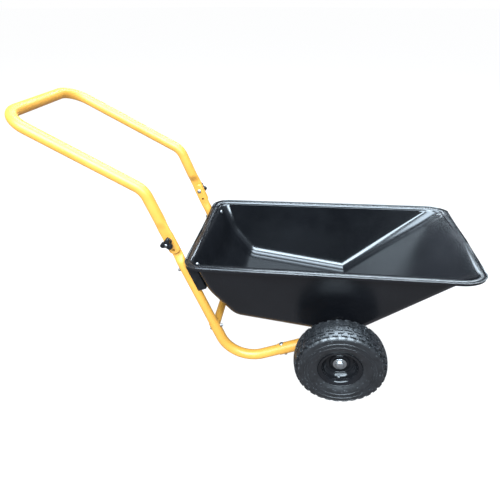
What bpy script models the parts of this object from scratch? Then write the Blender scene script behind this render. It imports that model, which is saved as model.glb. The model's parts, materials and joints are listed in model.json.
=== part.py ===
"""Two-wheeled yard cart: moulded tub, bent tube frame, fold-over push handle and pneumatic wheels.

Metres. X runs forward from the handle to the tub's nose, Y across with the left side at +Y,
Z up from the ground. The origin is on the ground under the middle of the cart's bounding box.
Lengths ahead of or behind the axle are measured level from it. The slanted line is the centre
line of the frame's slanted tubes, and lengths up it start where the foot's bend ends.
"""

import bmesh
import bpy
from math import asin, atan2, cos, pi, radians, sin, tan
from mathutils import Matrix, Vector

# Clearances
SEAT_GAP = 0.0003          # between pieces that rest on or in each other
HOLE_CLEARANCE = 0.0003    # round a bolt in its hole, on the radius

# Overall reach
HANDLE_REACH = 0.936       # handle's rear face behind the axle
TUB_REACH = 0.365          # tub's nose ahead of the axle

# Wheels
WHEEL_DIAMETER = 0.260
WHEEL_TRACK = 0.594        # between the wheels' centre planes

# Tyre; the shares of the flank and the cavity are of the tyre's half width
TYRE_WIDTH = 0.085
FLANK_SHARES = ((0.0, 0.45), (0.12, 0.80), (0.60, 1.0), (1.05, 0.96))  # depth under the crown, way out
CAVITY_SHARE_DOWN = 0.85   # how far under the crown the cavity is widest
CAVITY_SHARE_OUT = 0.55    # how far out it reaches under the tread
TREAD_DEPTH = 0.0045
TYRE_WALL = 0.0045
BEAD_DIAMETER = 0.103      # where the tyre sits on the rim
INNER_TUBE_CLEAR = 0.005   # inner tube over the bead's seat
TUBE_RUBBER = 0.0025       # wall of the inner tube

# Rim halves; heights are outboard of the wheel's centre plane
FLANGE_DIAMETER = 0.1236   # rim's outer lip
FLANGE_WIDTH = 0.067       # over both lips
RIM_SHEET = 0.002
RIM_LIP_SLANT = 0.004      # how far the lip leans outboard over its height
DISH_BOSS = 0.0055         # boss round the hub, at the sheet's middle
BOSS_REACH = 0.009         # how far the boss reaches beyond the hub
DISH_STEP = 0.0075         # step below the tyre's bead, at the sheet's middle
DISH_RING = 0.0766         # diameter where that step begins
DISH_BLEND = 0.003         # radial length of a slope between steps

# Hub, bushes and valve
HUB_DIAMETER = 0.033
HUB_WALL = 0.0035
HUB_INNER_END = 0.040      # inboard of the wheel's centre plane
HUB_OUTER_END = 0.0075     # outboard of it
BUSH_FLANGE = 0.0015
BUSH_LENGTH = 0.014
VALVE_DIAMETER = 0.008
VALVE_THREAD = 0.005       # diameter under the cap
VALVE_LENGTH = 0.024
VALVE_THICK_LENGTH = 0.0132
VALVE_NECK = 0.0036        # taper to the thread
VALVE_SLANT = radians(35)  # how far the stem leans outboard
VALVE_FOOT = 0.003         # foot of the stem outside the rim's well
VALVE_SEAT = 0.011         # outboard of the wheel's centre plane
VALVE_BORE = 0.004
VALVE_CAP_LENGTH = 0.009
VALVE_CAP_OVER = 0.0054    # thread inside the cap

# Axle
AXLE_DIAMETER = 0.0127
WASHER_DIAMETER = 0.038
WASHER_THICKNESS = 0.0016
AXLE_CAP_DIAMETER = 0.025
AXLE_CAP_HEIGHT = 0.0075
CAP_CROWN = 0.0019         # cap's thickness over the axle's end
CAP_SKIRT = 0.0012         # cap's upright edge
CAP_DOME_SHARES = ((0.86, 0.50), (0.55, 0.87))  # shares of the cap's radius and height
SPACER_DIAMETER = 0.021

# Frame tubes
TUBE_INSET = 0.016         # centre lines of the tubes inside the floor's side edges
TUBE_WALL = 0.0016
UPPER_TUBE = 0.0286        # outside diameter of the slanted tubes
SLEEVE_PLAY = 0.0004       # radial play of a tube inside the next one
ARM_WALL = 0.0014
LEAN = radians(68.2)       # slanted tubes, from the ground
FOOT_BEND_RADIUS = 0.100
FOOT_BEND_BACK = 0.2706    # bend's centre behind the axle
FOOT_BOLT_UP = 0.0437      # up the slanted line, like every length here named up
FOOT_SLEEVE_OVER = 0.018   # foot tube's end beyond that bolt
TUBE_BOTTOM_UP = 0.006     # lower end of the slanted tube
TUB_BOLT_DROP = 0.0241     # under the rim's root on the rear wall, down the slant
HINGE_OVER_BOLT = 0.1007   # hinge bolt above the tub bolt, up the slant
HANDLE_LEG = 0.1578        # handle's bend above the hinge bolt, up the slant
ARM_BOLT_BACK = 0.164      # bolt that joins foot and arm, behind the axle
ARM_SLEEVE_OVER = 0.013    # arm's rear end behind that bolt
FOOT_FRONT_OVER = 0.024    # foot tube's end ahead of it
ARM_FRONT_BACK = 0.029     # arm's front end behind the axle
BRACE_TUBE = 0.025
BRACE_ABOVE_BOLT = 0.003   # brace's height over the foot bolt, up the slanted line

# Handle
HANDLE_TUBE = 0.032
GRIP_RISE = radians(27.3)  # upper arms of the handle, from the ground
HANDLE_BEND_RADIUS = 0.060
HANDLE_CORNER_RADIUS = 0.068

# Hinge ends, pressed flat from one side; their backs stay rounded
HANDLE_PRESSED = 0.0095    # height of the handle's pressed end
UPPER_PRESSED = 0.0085     # and of the frame tube's
PRESSED_SPREAD = 0.001     # how far a pressed end is wider than its tube, each way
PRESSED_EDGE = 0.003       # its edges' own height
BACK_POWER = 2.6           # squareness of the rounded back, 2 is an ellipse
FACE_POWER = 6             # and of the flat face
HANDLE_TAIL = 0.043        # handle's pressed end below the hinge bolt
UPPER_TAIL = 0.024         # frame tube's pressed end above it
TIP_ROUND = 0.010          # length of the rounded tip
HANDLE_FLAT = 0.034        # flat part on the other side of the bolt
UPPER_FLAT = 0.046
FLAT_TAPER = 0.032         # where the tube becomes round again
SPARE_HOLE = 0.0086
SPARE_HOLE_DROP = 0.031    # below the hinge bolt

# Hinge bolts and wing knobs
HINGE_BOLT = 0.008
HINGE_BOLT_HEAD = 0.014
HINGE_WASHER = 0.020
HINGE_WASHER_THICKNESS = 0.0016
KNOB_DIAMETER = 0.038      # over the lobes
KNOB_HUB_DIAMETER = 0.020
KNOB_STEP = 0.008          # height of the hub under the lobes
KNOB_LOBES = 0.016         # height of the lobes
KNOB_EDGE = 0.0012         # rounding of its edges
LOBE_SHARE = 0.28          # of the lobed radius, each way from its mean, as a share
KNOB_TURN = radians(-43)   # first lobe from the knob's own X axis
KNOB_BOLT_PROUD = 0.002
KNOB_NUT_ACROSS = 0.013
KNOB_NUT_HEIGHT = 0.0055

# Bolts
BOLT = 0.006
BOLT_HEAD = 0.014
BOLT_HEAD_HEIGHT = 0.0038
HEAD_DOME_SHARES = ((0.93, 0.50), (0.55, 0.90))  # shares of the head's radius and height
BOLT_PROUD = 0.003         # thread past its nut
NUT_ACROSS = 0.010
NUT_HEIGHT = 0.005

# Tub, outside sizes
RIM_REAR_HEIGHT = 0.3712   # rim's top face at the rear wall
RIM_FRONT_HEIGHT = 0.390   # and at the nose
SIDE_SPREAD = 0.024        # tops of the side walls outside the floor's side edges
LIP_WIDTH = 0.022
LIP_DROP = 0.012
LIP_EDGE = 0.003           # rounding of the lip's outer edge
WALL = 0.004
FLOOR_SLOPE = radians(6.7)
FLOOR_AXLE_GAP = 0.0006    # between the axle and the floor above it
FLOOR_WIDTH = 0.398        # between the side walls at the lowest edge
LOW_EDGE = 0.033           # lowest edge of the tub ahead of the axle
REAR_BREAK_HEIGHT = 0.262  # where the rear wall starts to turn under
REAR_UNDER = radians(49)
SPACER_BLOCK = 0.023       # between slanted tube and tub
BREAK_BEND = 0.150         # bend radii of the rear wall, the knee and the lowest edge
KNEE_BEND = 0.060
LOW_BEND = 0.014
REAR_RADIUS = 0.030        # side fillets at the rear rim, along the floor and at the nose's rim
FLOOR_RADIUS = 0.030
NOSE_RADIUS = 0.035

# Small pieces under and behind the tub
LUG_WIDTH = 0.024
LUG_LENGTH = 0.032
LUG_WALL = 0.006
LUG_SPACING = 0.250
PLATE_THICKNESS = 0.005
PLATE_EYE = 0.0145         # radius round the axle
PLATE_REAR = 0.075         # plate's rear end behind the axle
PLATE_DEPTH = 0.024
BLOCK_WIDTH = 0.026
BLOCK_LENGTH = 0.089
BLOCK_WING = 0.0042        # how far it reaches back beside the tube
BLOCK_OVER_BOLT = 0.010    # block's upper end above the tub bolt

# Facets
TUBE_SIDES = 12
SMALL_SIDES = 10
SHAFT_SIDES = 16
WHEEL_SIDES = 24
KNOB_SIDES = 18
FILLET_STEPS = 4
TUB_BEND_STEPS = (3, 5, 4)
PATH_TURN = radians(14)    # turn between the rings of a bent tube, or a little more

# Looks, as colour, roughness and metallic value
PAINT = ((0.94, 0.60, 0.06, 1.0), 0.35, 0.0)
PLASTIC = ((0.022, 0.022, 0.024, 1.0), 0.42, 0.0)
RUBBER = ((0.016, 0.016, 0.017, 1.0), 0.75, 0.0)
GLOSS = ((0.010, 0.010, 0.011, 1.0), 0.16, 0.0)
STEEL = ((0.72, 0.73, 0.75, 1.0), 0.30, 1.0)
NYLON = ((0.60, 0.60, 0.57, 1.0), 0.50, 0.0)

SIDES = (("left", 1), ("right", -1))
ACROSS = Vector((0.0, 1.0, 0.0))
LEVEL = Vector((1.0, 0.0, 0.0))
UP = Vector((0.0, 0.0, 1.0))

for old in list(bpy.data.objects):
    bpy.data.objects.remove(old, do_unlink=True)

# Sizes that follow from the ones above
axle_radius = AXLE_DIAMETER / 2
upper_radius = UPPER_TUBE / 2
handle_radius = HANDLE_TUBE / 2
foot_radius = upper_radius + SLEEVE_PLAY + TUBE_WALL
arm_radius = foot_radius + SLEEVE_PLAY + ARM_WALL
half_spacing = FLOOR_WIDTH / 2 - TUBE_INSET
bolt_hole = BOLT / 2 + HOLE_CLEARANCE
hinge_hole = HINGE_BOLT / 2 + HOLE_CLEARANCE
axle_bore = axle_radius + HOLE_CLEARANCE
through = HANDLE_TUBE * 1.5
plate_middle = half_spacing + arm_radius + SEAT_GAP + PLATE_THICKNESS / 2
tub_face = upper_radius + SEAT_GAP + SPACER_BLOCK + SEAT_GAP
washer_seat = half_spacing + SEAT_GAP / 2 + HANDLE_PRESSED + SEAT_GAP
knob_seat = washer_seat + HINGE_WASHER_THICKNESS + SEAT_GAP
rim_well = BEAD_DIAMETER / 2 - RIM_SHEET / 2 - SEAT_GAP

# The slanted line and the arm's line both touch the foot's bend, and the arm's runs through the axle
axle = Vector(((HANDLE_REACH - TUB_REACH) / 2, 0.0, WHEEL_DIAMETER / 2))
bend_centre = Vector((axle.x - FOOT_BEND_BACK, 0.0, foot_radius + FOOT_BEND_RADIUS))
up_slant = Vector((-cos(LEAN), 0.0, sin(LEAN)))
to_tub = Vector((sin(LEAN), 0.0, cos(LEAN)))
slant_start = bend_centre - to_tub * FOOT_BEND_RADIUS
root_up = (RIM_REAR_HEIGHT - WALL - slant_start.z - to_tub.z * tub_face) / up_slant.z
tub_bolt_up = root_up - TUB_BOLT_DROP
hinge_up = tub_bolt_up + HINGE_OVER_BOLT
to_bend = bend_centre - axle
arm_rise = asin(FOOT_BEND_RADIUS / to_bend.length) - atan2(to_bend.z, -to_bend.x)
up_arm = Vector((cos(arm_rise), 0.0, sin(arm_rise)))
over_arm = Vector((-sin(arm_rise), 0.0, cos(arm_rise)))


def on_slant(distance, side=0, off=0.0):
    """Point this far up the slanted line, off it towards the tub, on one side of the cart."""
    return slant_start + up_slant * distance + to_tub * off + ACROSS * side * half_spacing


def on_arm(back, side):
    """Point of the arm's line this far behind the axle."""
    return axle - up_arm * (back / cos(arm_rise)) + ACROSS * side * half_spacing


def material(name, colour, roughness, metallic):
    made = bpy.data.materials.new(name)
    made.use_nodes = True
    shader = made.node_tree.nodes["Principled BSDF"]
    shader.inputs["Base Color"].default_value = colour
    shader.inputs["Roughness"].default_value = roughness
    shader.inputs["Metallic"].default_value = metallic
    return made


def finish(name, bm, look):
    """Closes a mesh's seams, turns its faces out and makes its object."""
    bmesh.ops.remove_doubles(bm, verts=bm.verts, dist=0.000002)
    bmesh.ops.recalc_face_normals(bm, faces=bm.faces)
    mesh = bpy.data.meshes.new(name)
    bm.to_mesh(mesh)
    bm.free()
    mesh.shade_smooth()
    mesh.set_sharp_from_angle(angle=radians(40))
    made = bpy.data.objects.new(name, mesh)
    bpy.context.scene.collection.objects.link(made)
    mesh.materials.append(material(name + "_finish", *look))
    return made


def aim(obj, place, along):
    """Puts an object's origin at place with its Z axis along the given direction."""
    obj.matrix_world = Matrix.Translation(place) @ along.to_track_quat("Z", "Y").to_matrix().to_4x4()
    return obj


def set_origin(obj, point):
    """Moves an object's origin and leaves its shape where it is."""
    obj.data.transform(Matrix.Translation(-point) @ obj.matrix_world)
    obj.matrix_world = Matrix.Translation(point)


def turned(name, profile, sides, look):
    """Solid of revolution about Z from (radius, height) points that go round a closed outline."""
    bm = bmesh.new()
    ring = [bm.verts.new((radius, 0.0, height)) for radius, height in profile]
    hollow = min(radius for radius, _ in profile) > 0
    ends = ring[1:] + ring[:1] if hollow else ring[1:]
    edges = [bm.edges.new(pair) for pair in zip(ring, ends)]
    bmesh.ops.spin(bm, geom=ring + edges, cent=(0, 0, 0), axis=(0, 0, 1), dvec=(0, 0, 0),
                   angle=2 * pi, steps=sides, use_merge=True)
    return finish(name, bm, look)


def rod(radius, low, high):
    """Outline of a solid cylinder for turning."""
    return [(0, low), (radius, low), (radius, high), (0, high)]


def sleeve(outer, inner, low, high):
    """Outline of a hollow cylinder for turning."""
    return [(inner, low), (outer, low), (outer, high), (inner, high)]


def arc(radius, start, end, steps):
    """Points of an arc about the origin."""
    angles = [start + (end - start) * step / steps for step in range(steps + 1)]
    return [(radius * cos(angle), radius * sin(angle)) for angle in angles]


def prism(name, outline, thickness, look):
    """Upright prism over a flat outline of (x, y) points, its middle at the origin's height."""
    bm = bmesh.new()
    face = bm.faces.new([bm.verts.new((x, y, -thickness / 2)) for x, y in outline])
    wall = bmesh.ops.extrude_face_region(bm, geom=[face])
    lifted = [item for item in wall["geom"] if isinstance(item, bmesh.types.BMVert)]
    bmesh.ops.translate(bm, verts=lifted, vec=(0, 0, thickness))
    return finish(name, bm, look)


def combine(obj, other, operation):
    """Adds a Boolean; the other shape itself stays out of the model."""
    other.hide_render = True
    other.display_type = "WIRE"
    change = obj.modifiers.new(other.name, "BOOLEAN")
    change.object = other
    change.operation = operation
    change.solver = "EXACT"


def bore(obj, place, along, radius, length, sides):
    """Cuts a faceted hole, centred on a point."""
    cutter = turned("cutter", rod(radius, -length / 2, length / 2), sides, STEEL)
    combine(obj, aim(cutter, place, along), "DIFFERENCE")


def drill(obj, place, along, radius, length):
    """Cuts a round hole whose flats keep the radius."""
    bore(obj, place, along, radius / cos(pi / SMALL_SIDES), length, SMALL_SIDES)


def rounded_path(corners, radii):
    """Points along straight runs joined by arcs, with the direction at each point."""
    points = [(corners[0], (corners[1] - corners[0]).normalized())]
    for before, corner, after, radius in zip(corners, corners[1:], corners[2:], radii):
        incoming = (corner - before).normalized()
        outgoing = (after - corner).normalized()
        turn = incoming.angle(outgoing)
        axis = incoming.cross(outgoing).normalized()
        start = corner - incoming * radius * tan(turn / 2)
        centre = start + axis.cross(incoming) * radius
        count = max(2, round(turn / PATH_TURN))
        for k in range(count + 1):
            spin = Matrix.Rotation(turn * k / count, 3, axis)
            points.append((centre + spin @ (start - centre), spin @ incoming))
    points.append((corners[-1], (corners[-1] - corners[-2]).normalized()))
    return points


def bridge(bm, near, far):
    """Quads between two rings of as many points."""
    for near_pair, far_pair in zip(zip(near, near[1:] + near[:1]), zip(far, far[1:] + far[:1])):
        bm.faces.new((*near_pair, *far_pair[::-1]))


def squared(share, power):
    """Height of a rounded shape, from 1 at its middle to 0 at its edge."""
    return max(0.0, 1 - abs(share) ** power) ** (1 / power)


def ring_shape(radius, depth, flat, height, width, way):
    """Tube outline as (up, across) points: a circle that is pressed by a share from 0 to 1.

    Fully pressed, its flat face lies beside the tube's axis and its back stands this height the
    way given. Depth is how far inside the outer skin the outline lies.
    """
    shape = []
    for k in range(TUBE_SIDES):
        angle = 2 * pi * k / TUBE_SIDES
        circle = Vector((cos(angle), sin(angle))) * (radius - depth)
        back = way * sin(angle) > 0
        tall = height - PRESSED_EDGE - depth if back else depth - PRESSED_EDGE
        aside = SEAT_GAP / 2 + PRESSED_EDGE + tall * squared(cos(angle), BACK_POWER if back else FACE_POWER)
        shape.append(circle.lerp(Vector(((width - depth) * cos(angle), way * aside)), flat))
    return shape


def tube(name, stations, radius, wall, height=0.0):
    """Hollow painted tube, open at both ends.

    Each station is a point, the direction there, how far the tube is pressed, its half width
    where it is pressed, and the side of the cart that its back looks to; height is the pressed
    end's.
    """
    bm = bmesh.new()
    skins = []
    across = ACROSS
    last = stations[0][1]
    for point, direction, flat, width, way in stations:
        across = last.rotation_difference(direction) @ across
        last = direction
        up = across.cross(direction).normalized()
        local_way = way if across.dot(ACROSS) > 0 else -way
        rings = []
        for depth in (0.0, wall):
            shape = ring_shape(radius, depth, flat, height, width, local_way)
            rings.append([bm.verts.new(point + up * rise + across * aside) for rise, aside in shape])
        skins.append(rings)
    for near, far in zip(skins, skins[1:]):
        bridge(bm, near[0], far[0])
        bridge(bm, near[1], far[1])
    bridge(bm, *skins[0])
    bridge(bm, *skins[-1])
    return finish(name, bm, PAINT)


def plain(points):
    """Stations of a round tube."""
    return [(point, direction, 0.0, 0.0, 0) for point, direction in points]


def flat_end(tip, direction, start, radius, way):
    """Stations of a pressed end: a rounded tip, the flat part past the bolt and the taper."""
    width = radius + PRESSED_SPREAD
    stations = []
    for share in (0.0, 0.35, 1.0):
        narrowed = width - TIP_ROUND * (1 - share) ** 2
        stations.append((tip + direction * TIP_ROUND * share, direction, 1.0, narrowed, way))
    for share in (0.0, 0.5, 1.0):
        pressed = 1 - share * share * (3 - 2 * share)
        stations.append((tip + direction * (start + FLAT_TAPER * share), direction, pressed, width, way))
    return stations


def hinge_holes(obj, side):
    """Cuts the hinge bolt's hole and the spare hole below it."""
    drill(obj, on_slant(hinge_up, side), ACROSS, hinge_hole, through)
    drill(obj, on_slant(hinge_up - SPARE_HOLE_DROP, side), ACROSS, SPARE_HOLE / 2, through)


def crossing(point, way, other, other_way):
    """Where two lines in the side view meet."""
    scale = way.x * other_way.z - way.z * other_way.x
    along = ((other.x - point.x) * other_way.z - (other.z - point.z) * other_way.x) / scale
    return point + way * along


def tub_corners():
    """Corners of the tub's outside in the side view, from the rear rim round to the nose's rim."""
    rear_root = on_slant(root_up, 0, tub_face)
    rear_break = crossing(rear_root, up_slant, UP * REAR_BREAK_HEIGHT, LEVEL)
    floor_point = axle + UP * (axle_radius + FLOOR_AXLE_GAP) / cos(FLOOR_SLOPE)
    floor_way = Vector((-cos(FLOOR_SLOPE), 0, sin(FLOOR_SLOPE)))
    under_way = Vector((cos(REAR_UNDER), 0, -sin(REAR_UNDER)))
    knee = crossing(rear_break, under_way, floor_point, floor_way)
    low = crossing(floor_point, floor_way, axle + LEVEL * LOW_EDGE, UP)
    nose_root = LEVEL * (axle.x + TUB_REACH - LIP_WIDTH) + UP * (RIM_FRONT_HEIGHT - WALL)
    return [rear_root, rear_break, knee, low, nose_root]


def end_station(root, slope, along):
    """Rim end of the side view, as a function of the distance moved into the tub."""
    rate = 1 / slope.cross(along).length
    return lambda distance: root + along * distance * rate


def bend_stations(before, corner, after, bend, count):
    """Points round one bend of the side view, as functions of the distance moved into the tub."""
    incoming = (corner - before).normalized()
    turn = incoming.angle(after - corner)
    inward = Vector((-incoming.z, 0, incoming.x))
    centre = corner - incoming * bend * tan(turn / 2) + inward * bend
    middle = (centre - corner).normalized()

    def station(inward_here):
        def shifted(distance):
            if distance < bend:
                return centre - inward_here * (bend - distance)
            return corner + middle * distance / cos(turn / 2)
        return shifted

    return [station(Matrix.Rotation(-turn * step / count, 3, "Y") @ inward) for step in range(count + 1)]


def make_tub():
    """Moulded hopper with its rolled rim and the two lugs that hold the axle."""
    corners = tub_corners()
    rim_way = (corners[-1] - corners[0]).normalized()
    rim_rise = rim_way.z / rim_way.x
    stations = [(end_station(corners[0], up_slant, rim_way), REAR_RADIUS)]
    bends = zip((BREAK_BEND, KNEE_BEND, LOW_BEND), TUB_BEND_STEPS)
    for k, (bend, count) in enumerate(bends):
        for station in bend_stations(*corners[k:k + 3], bend, count):
            stations.append((station, FLOOR_RADIUS))
    nose_slope = (corners[-1] - corners[-2]).normalized()
    stations.append((end_station(corners[-1], nose_slope, -rim_way), NOSE_RADIUS))
    floor, top = corners[-2].z, corners[-1].z
    side_lean = SIDE_SPREAD / (top - floor)

    bm = bmesh.new()
    grid = {}
    for index, (station, radius) in enumerate(stations):
        for step in range(FILLET_STEPS + 1):
            angle = pi / 2 * step / FILLET_STEPS
            point = station(radius * (1 - cos(angle)))
            half_width = FLOOR_WIDTH / 2 + side_lean * (point.z - floor)
            out = half_width - radius * (1 - sin(angle))
            for side in (1, -1):
                grid[index, step, side] = bm.verts.new((point.x, side * out, point.z))
    last = len(stations) - 1
    for index in range(last):
        bm.faces.new([grid[index, 0, 1], grid[index + 1, 0, 1], grid[index + 1, 0, -1],
                      grid[index, 0, -1]])
        for side in (1, -1):
            for step in range(FILLET_STEPS):
                bm.faces.new([grid[index, step, side], grid[index + 1, step, side],
                              grid[index + 1, step + 1, side], grid[index, step + 1, side]])
    for side in (1, -1):
        bm.faces.new([grid[index, FILLET_STEPS, side] for index in range(last + 1)])

    # Rim loop from the rear left corner forward and round, with the way out at each point
    loop = []
    steps = range(FILLET_STEPS + 1)
    for index, side, order, way in ((0, 1, steps, -1), (last, 1, steps[::-1], 1),
                                    (last, -1, steps, 1), (0, -1, steps[::-1], -1)):
        for step in order:
            angle = pi / 2 * step / FILLET_STEPS
            out = Vector((way * cos(angle), side * sin(angle), way * cos(angle) * rim_rise))
            loop.append((grid[index, step, side], out))
    under = [vert for vert, _ in loop]
    reach = LIP_WIDTH - WALL
    rounding = LIP_EDGE * (1 - cos(pi / 4))
    for distance, drop in ((reach - LIP_EDGE, 0.0), (reach - rounding, rounding),
                           (reach, LIP_EDGE), (reach, LIP_DROP - WALL)):
        ring = [bm.verts.new(vert.co + out * distance - UP * drop) for vert, out in loop]
        bridge(bm, under, ring)
        under = ring
    tub = finish("tub", bm, PLASTIC)

    # The first face belongs to the rear wall: it has to look back, so that the wall grows inwards
    if tub.data.polygons[0].normal.x > 0:
        tub.data.flip_normals()
    wall = tub.modifiers.new("wall", "SOLIDIFY")
    wall.thickness = WALL
    wall.offset = -1
    wall.use_even_offset = True
    wall.use_quality_normals = True
    for side in (1, -1):
        lug_place = axle + ACROSS * side * LUG_SPACING / 2
        combine(tub, aim(make_lug(), lug_place, -ACROSS), "UNION")
        drill(tub, lug_place, ACROSS, axle_bore, LUG_WIDTH * 1.5)
        drill(tub, on_slant(tub_bolt_up, side, tub_face + WALL / 2), to_tub, bolt_hole, WALL * 4)


def make_lug():
    """Moulded block under the floor that the axle runs through, reaching a little into the floor."""
    top = axle_radius + FLOOR_AXLE_GAP + WALL / 2
    slope = tan(FLOOR_SLOPE) * LUG_LENGTH / 2
    outline = [(LUG_LENGTH / 2, top - slope), (-LUG_LENGTH / 2, top + slope)]
    outline += arc(axle_radius + LUG_WALL, pi, 2 * pi, SMALL_SIDES // 2)
    return prism("lug", outline, LUG_WIDTH, PLASTIC)


def make_upper_tube(side, word):
    """Slanted tube with a flat hinge end at its top."""
    tip = on_slant(hinge_up + UPPER_TAIL, side)
    stations = flat_end(tip, -up_slant, UPPER_TAIL + UPPER_FLAT, upper_radius, -side)
    stations += plain([(on_slant(TUBE_BOTTOM_UP, side), -up_slant)])
    upper = tube("upper_frame_tube_" + word, stations, upper_radius, TUBE_WALL, UPPER_PRESSED)
    hinge_holes(upper, side)
    drill(upper, on_slant(tub_bolt_up, side), to_tub, bolt_hole, through)
    drill(upper, on_slant(FOOT_BOLT_UP, side), to_tub, bolt_hole, through)


def make_foot_tube(side, word):
    """Bent tube that the cart stands on, a sleeve round the slanted tube and a core for the arm."""
    turn = (-up_slant).angle(up_arm)
    corners = [on_slant(FOOT_BOLT_UP + FOOT_SLEEVE_OVER, side),
               on_slant(-FOOT_BEND_RADIUS * tan(turn / 2), side),
               on_arm(ARM_BOLT_BACK - FOOT_FRONT_OVER, side)]
    foot = tube("foot_tube_" + word, plain(rounded_path(corners, [FOOT_BEND_RADIUS])), foot_radius,
                TUBE_WALL)
    drill(foot, on_slant(FOOT_BOLT_UP, side), to_tub, bolt_hole, through)
    drill(foot, on_arm(ARM_BOLT_BACK, side), over_arm, bolt_hole, through)


def make_front_arm(side, word):
    """Straight tube from the foot to just behind the axle."""
    ends = [(on_arm(ARM_BOLT_BACK + ARM_SLEEVE_OVER, side), up_arm),
            (on_arm(ARM_FRONT_BACK, side), up_arm)]
    arm = tube("front_arm_" + word, plain(ends), arm_radius, ARM_WALL)
    drill(arm, on_arm(ARM_BOLT_BACK, side), over_arm, bolt_hole, through)


def make_axle_plate(side, word):
    """Plate outboard of the arm, with a round eye for the axle."""
    outline = arc(PLATE_EYE, arm_rise + pi / 2, arm_rise - pi / 2, SHAFT_SIDES // 2)
    for edge in (-1, 1):
        point = over_arm * edge * PLATE_DEPTH / 2 - up_arm * PLATE_REAR
        outline.append((point.x, point.z))
    plate = prism("axle_plate_" + word, outline, PLATE_THICKNESS, PAINT)
    place = axle + ACROSS * side * plate_middle
    drill(aim(plate, place, -ACROSS), place, ACROSS, axle_bore, PLATE_THICKNESS * 3)


def make_spacer_block(side, word):
    """Plastic block between tube and tub, with a saddle for the tube."""
    half = BLOCK_WIDTH / 2
    depth = tub_face - SEAT_GAP
    start = upper_radius - BLOCK_WING
    block = prism("spacer_block_" + word, [(-half, start), (half, start), (half, depth), (-half, depth)],
                  BLOCK_LENGTH, PLASTIC)
    middle = on_slant(tub_bolt_up + BLOCK_OVER_BOLT - BLOCK_LENGTH / 2, side)
    turned_to = Matrix((-ACROSS, to_tub, up_slant)).transposed().to_4x4()
    block.matrix_world = Matrix.Translation(middle) @ turned_to
    bore(block, middle, up_slant, upper_radius + SEAT_GAP, BLOCK_LENGTH * 2, TUBE_SIDES)
    drill(block, on_slant(tub_bolt_up, side), to_tub, bolt_hole, depth * 3)


def make_brace():
    """Cross tube between the foot tubes, coped to their round."""
    radius = BRACE_TUBE / 2
    raw_end = half_spacing - foot_radius / 2
    brace = turned("cross_brace", sleeve(radius, radius - TUBE_WALL, -raw_end, raw_end), SMALL_SIDES,
                   PAINT)
    aim(brace, on_slant(FOOT_BOLT_UP + BRACE_ABOVE_BOLT), ACROSS)
    for side in (1, -1):
        bore(brace, on_slant(FOOT_BOLT_UP, side), up_slant, foot_radius + SEAT_GAP, foot_radius * 6,
             TUBE_SIDES)


def make_bolt(name, diameter, head, length):
    """Round-headed bolt with its seat at the origin and its head upwards."""
    dome = [(head / 2 * out, BOLT_HEAD_HEIGHT * up) for out, up in HEAD_DOME_SHARES]
    profile = [(0, -length), (diameter / 2, -length), (diameter / 2, 0), (head / 2, 0), *dome,
               (0, BOLT_HEAD_HEIGHT)]
    return turned(name, profile, SMALL_SIDES, STEEL)


def make_nut(name, diameter, across, height):
    """Six-sided nut that stands on the origin."""
    to_corner = 1 / cos(pi / 6)
    hole = (diameter / 2 + HOLE_CLEARANCE) * to_corner
    return turned(name, sleeve(across / 2 * to_corner, hole, 0, height), 6, STEEL)


def fasten(joint, word, middle, along, head_at, nut_at):
    """A bolt and its nut; the seats of both are measured along the bolt from the middle."""
    length = head_at - nut_at + NUT_HEIGHT + BOLT_PROUD
    made = make_bolt(joint + "_bolt_" + word, BOLT, BOLT_HEAD, length)
    aim(made, middle + along * head_at, along)
    made = make_nut(joint + "_nut_" + word, BOLT, NUT_ACROSS, NUT_HEIGHT)
    aim(made, middle + along * nut_at, -along)


def make_fasteners(side, word):
    """Bolts of the foot joint, the arm joint and the tub on one side."""
    reach = foot_radius + SEAT_GAP
    fasten("foot", word, on_slant(FOOT_BOLT_UP, side), -to_tub, reach, -reach)
    reach = arm_radius + SEAT_GAP
    fasten("arm", word, on_arm(ARM_BOLT_BACK, side), over_arm, reach, -reach)
    fasten("tub", word, on_slant(tub_bolt_up, side), to_tub, tub_face + WALL + SEAT_GAP,
           -upper_radius - SEAT_GAP)


def make_handle():
    """Handle bent from one tube, flat at both hinge ends, and the washers on it."""
    rear = axle.x - HANDLE_REACH + handle_radius
    legs = []
    for side in (-1, 1):
        tip = on_slant(hinge_up - HANDLE_TAIL, side)
        bend = on_slant(hinge_up + HANDLE_LEG, side)
        corner = Vector((rear, bend.y, bend.z + (bend.x - rear) * tan(GRIP_RISE)))
        legs.append([tip, bend, corner])
    corners = legs[0] + legs[1][::-1]
    path = rounded_path(corners, [HANDLE_BEND_RADIUS, HANDLE_CORNER_RADIUS, HANDLE_CORNER_RADIUS,
                                  HANDLE_BEND_RADIUS])
    right = flat_end(corners[0], up_slant, HANDLE_TAIL + HANDLE_FLAT, handle_radius, -1)
    left = [(point, -direction, flat, width, way) for point, direction, flat, width, way
            in flat_end(corners[-1], up_slant, HANDLE_TAIL + HANDLE_FLAT, handle_radius, 1)]
    handle = tube("handle_tube", right + plain(path[1:-1]) + left[::-1], handle_radius, TUBE_WALL,
                  HANDLE_PRESSED)
    hinge = on_slant(hinge_up)
    set_origin(handle, hinge)
    for word, side in SIDES:
        hinge_holes(handle, side)
        washer = turned("hinge_washer_" + word, sleeve(HINGE_WASHER / 2, hinge_hole, 0,
                                                       HINGE_WASHER_THICKNESS), SMALL_SIDES, STEEL)
        aim(washer, hinge + ACROSS * side * washer_seat, ACROSS * side)
        set_origin(washer, hinge)


def knob_ring(height, radius, depth=0.0):
    """Ring round the knob's axis whose radius swings down by twice the depth between three lobes."""
    points = []
    for step in range(KNOB_SIDES):
        angle = 2 * pi * step / KNOB_SIDES
        reach = radius * (1 - depth + depth * cos(3 * (angle - KNOB_TURN)))
        points.append((reach * cos(angle), reach * sin(angle), height))
    return points


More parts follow.
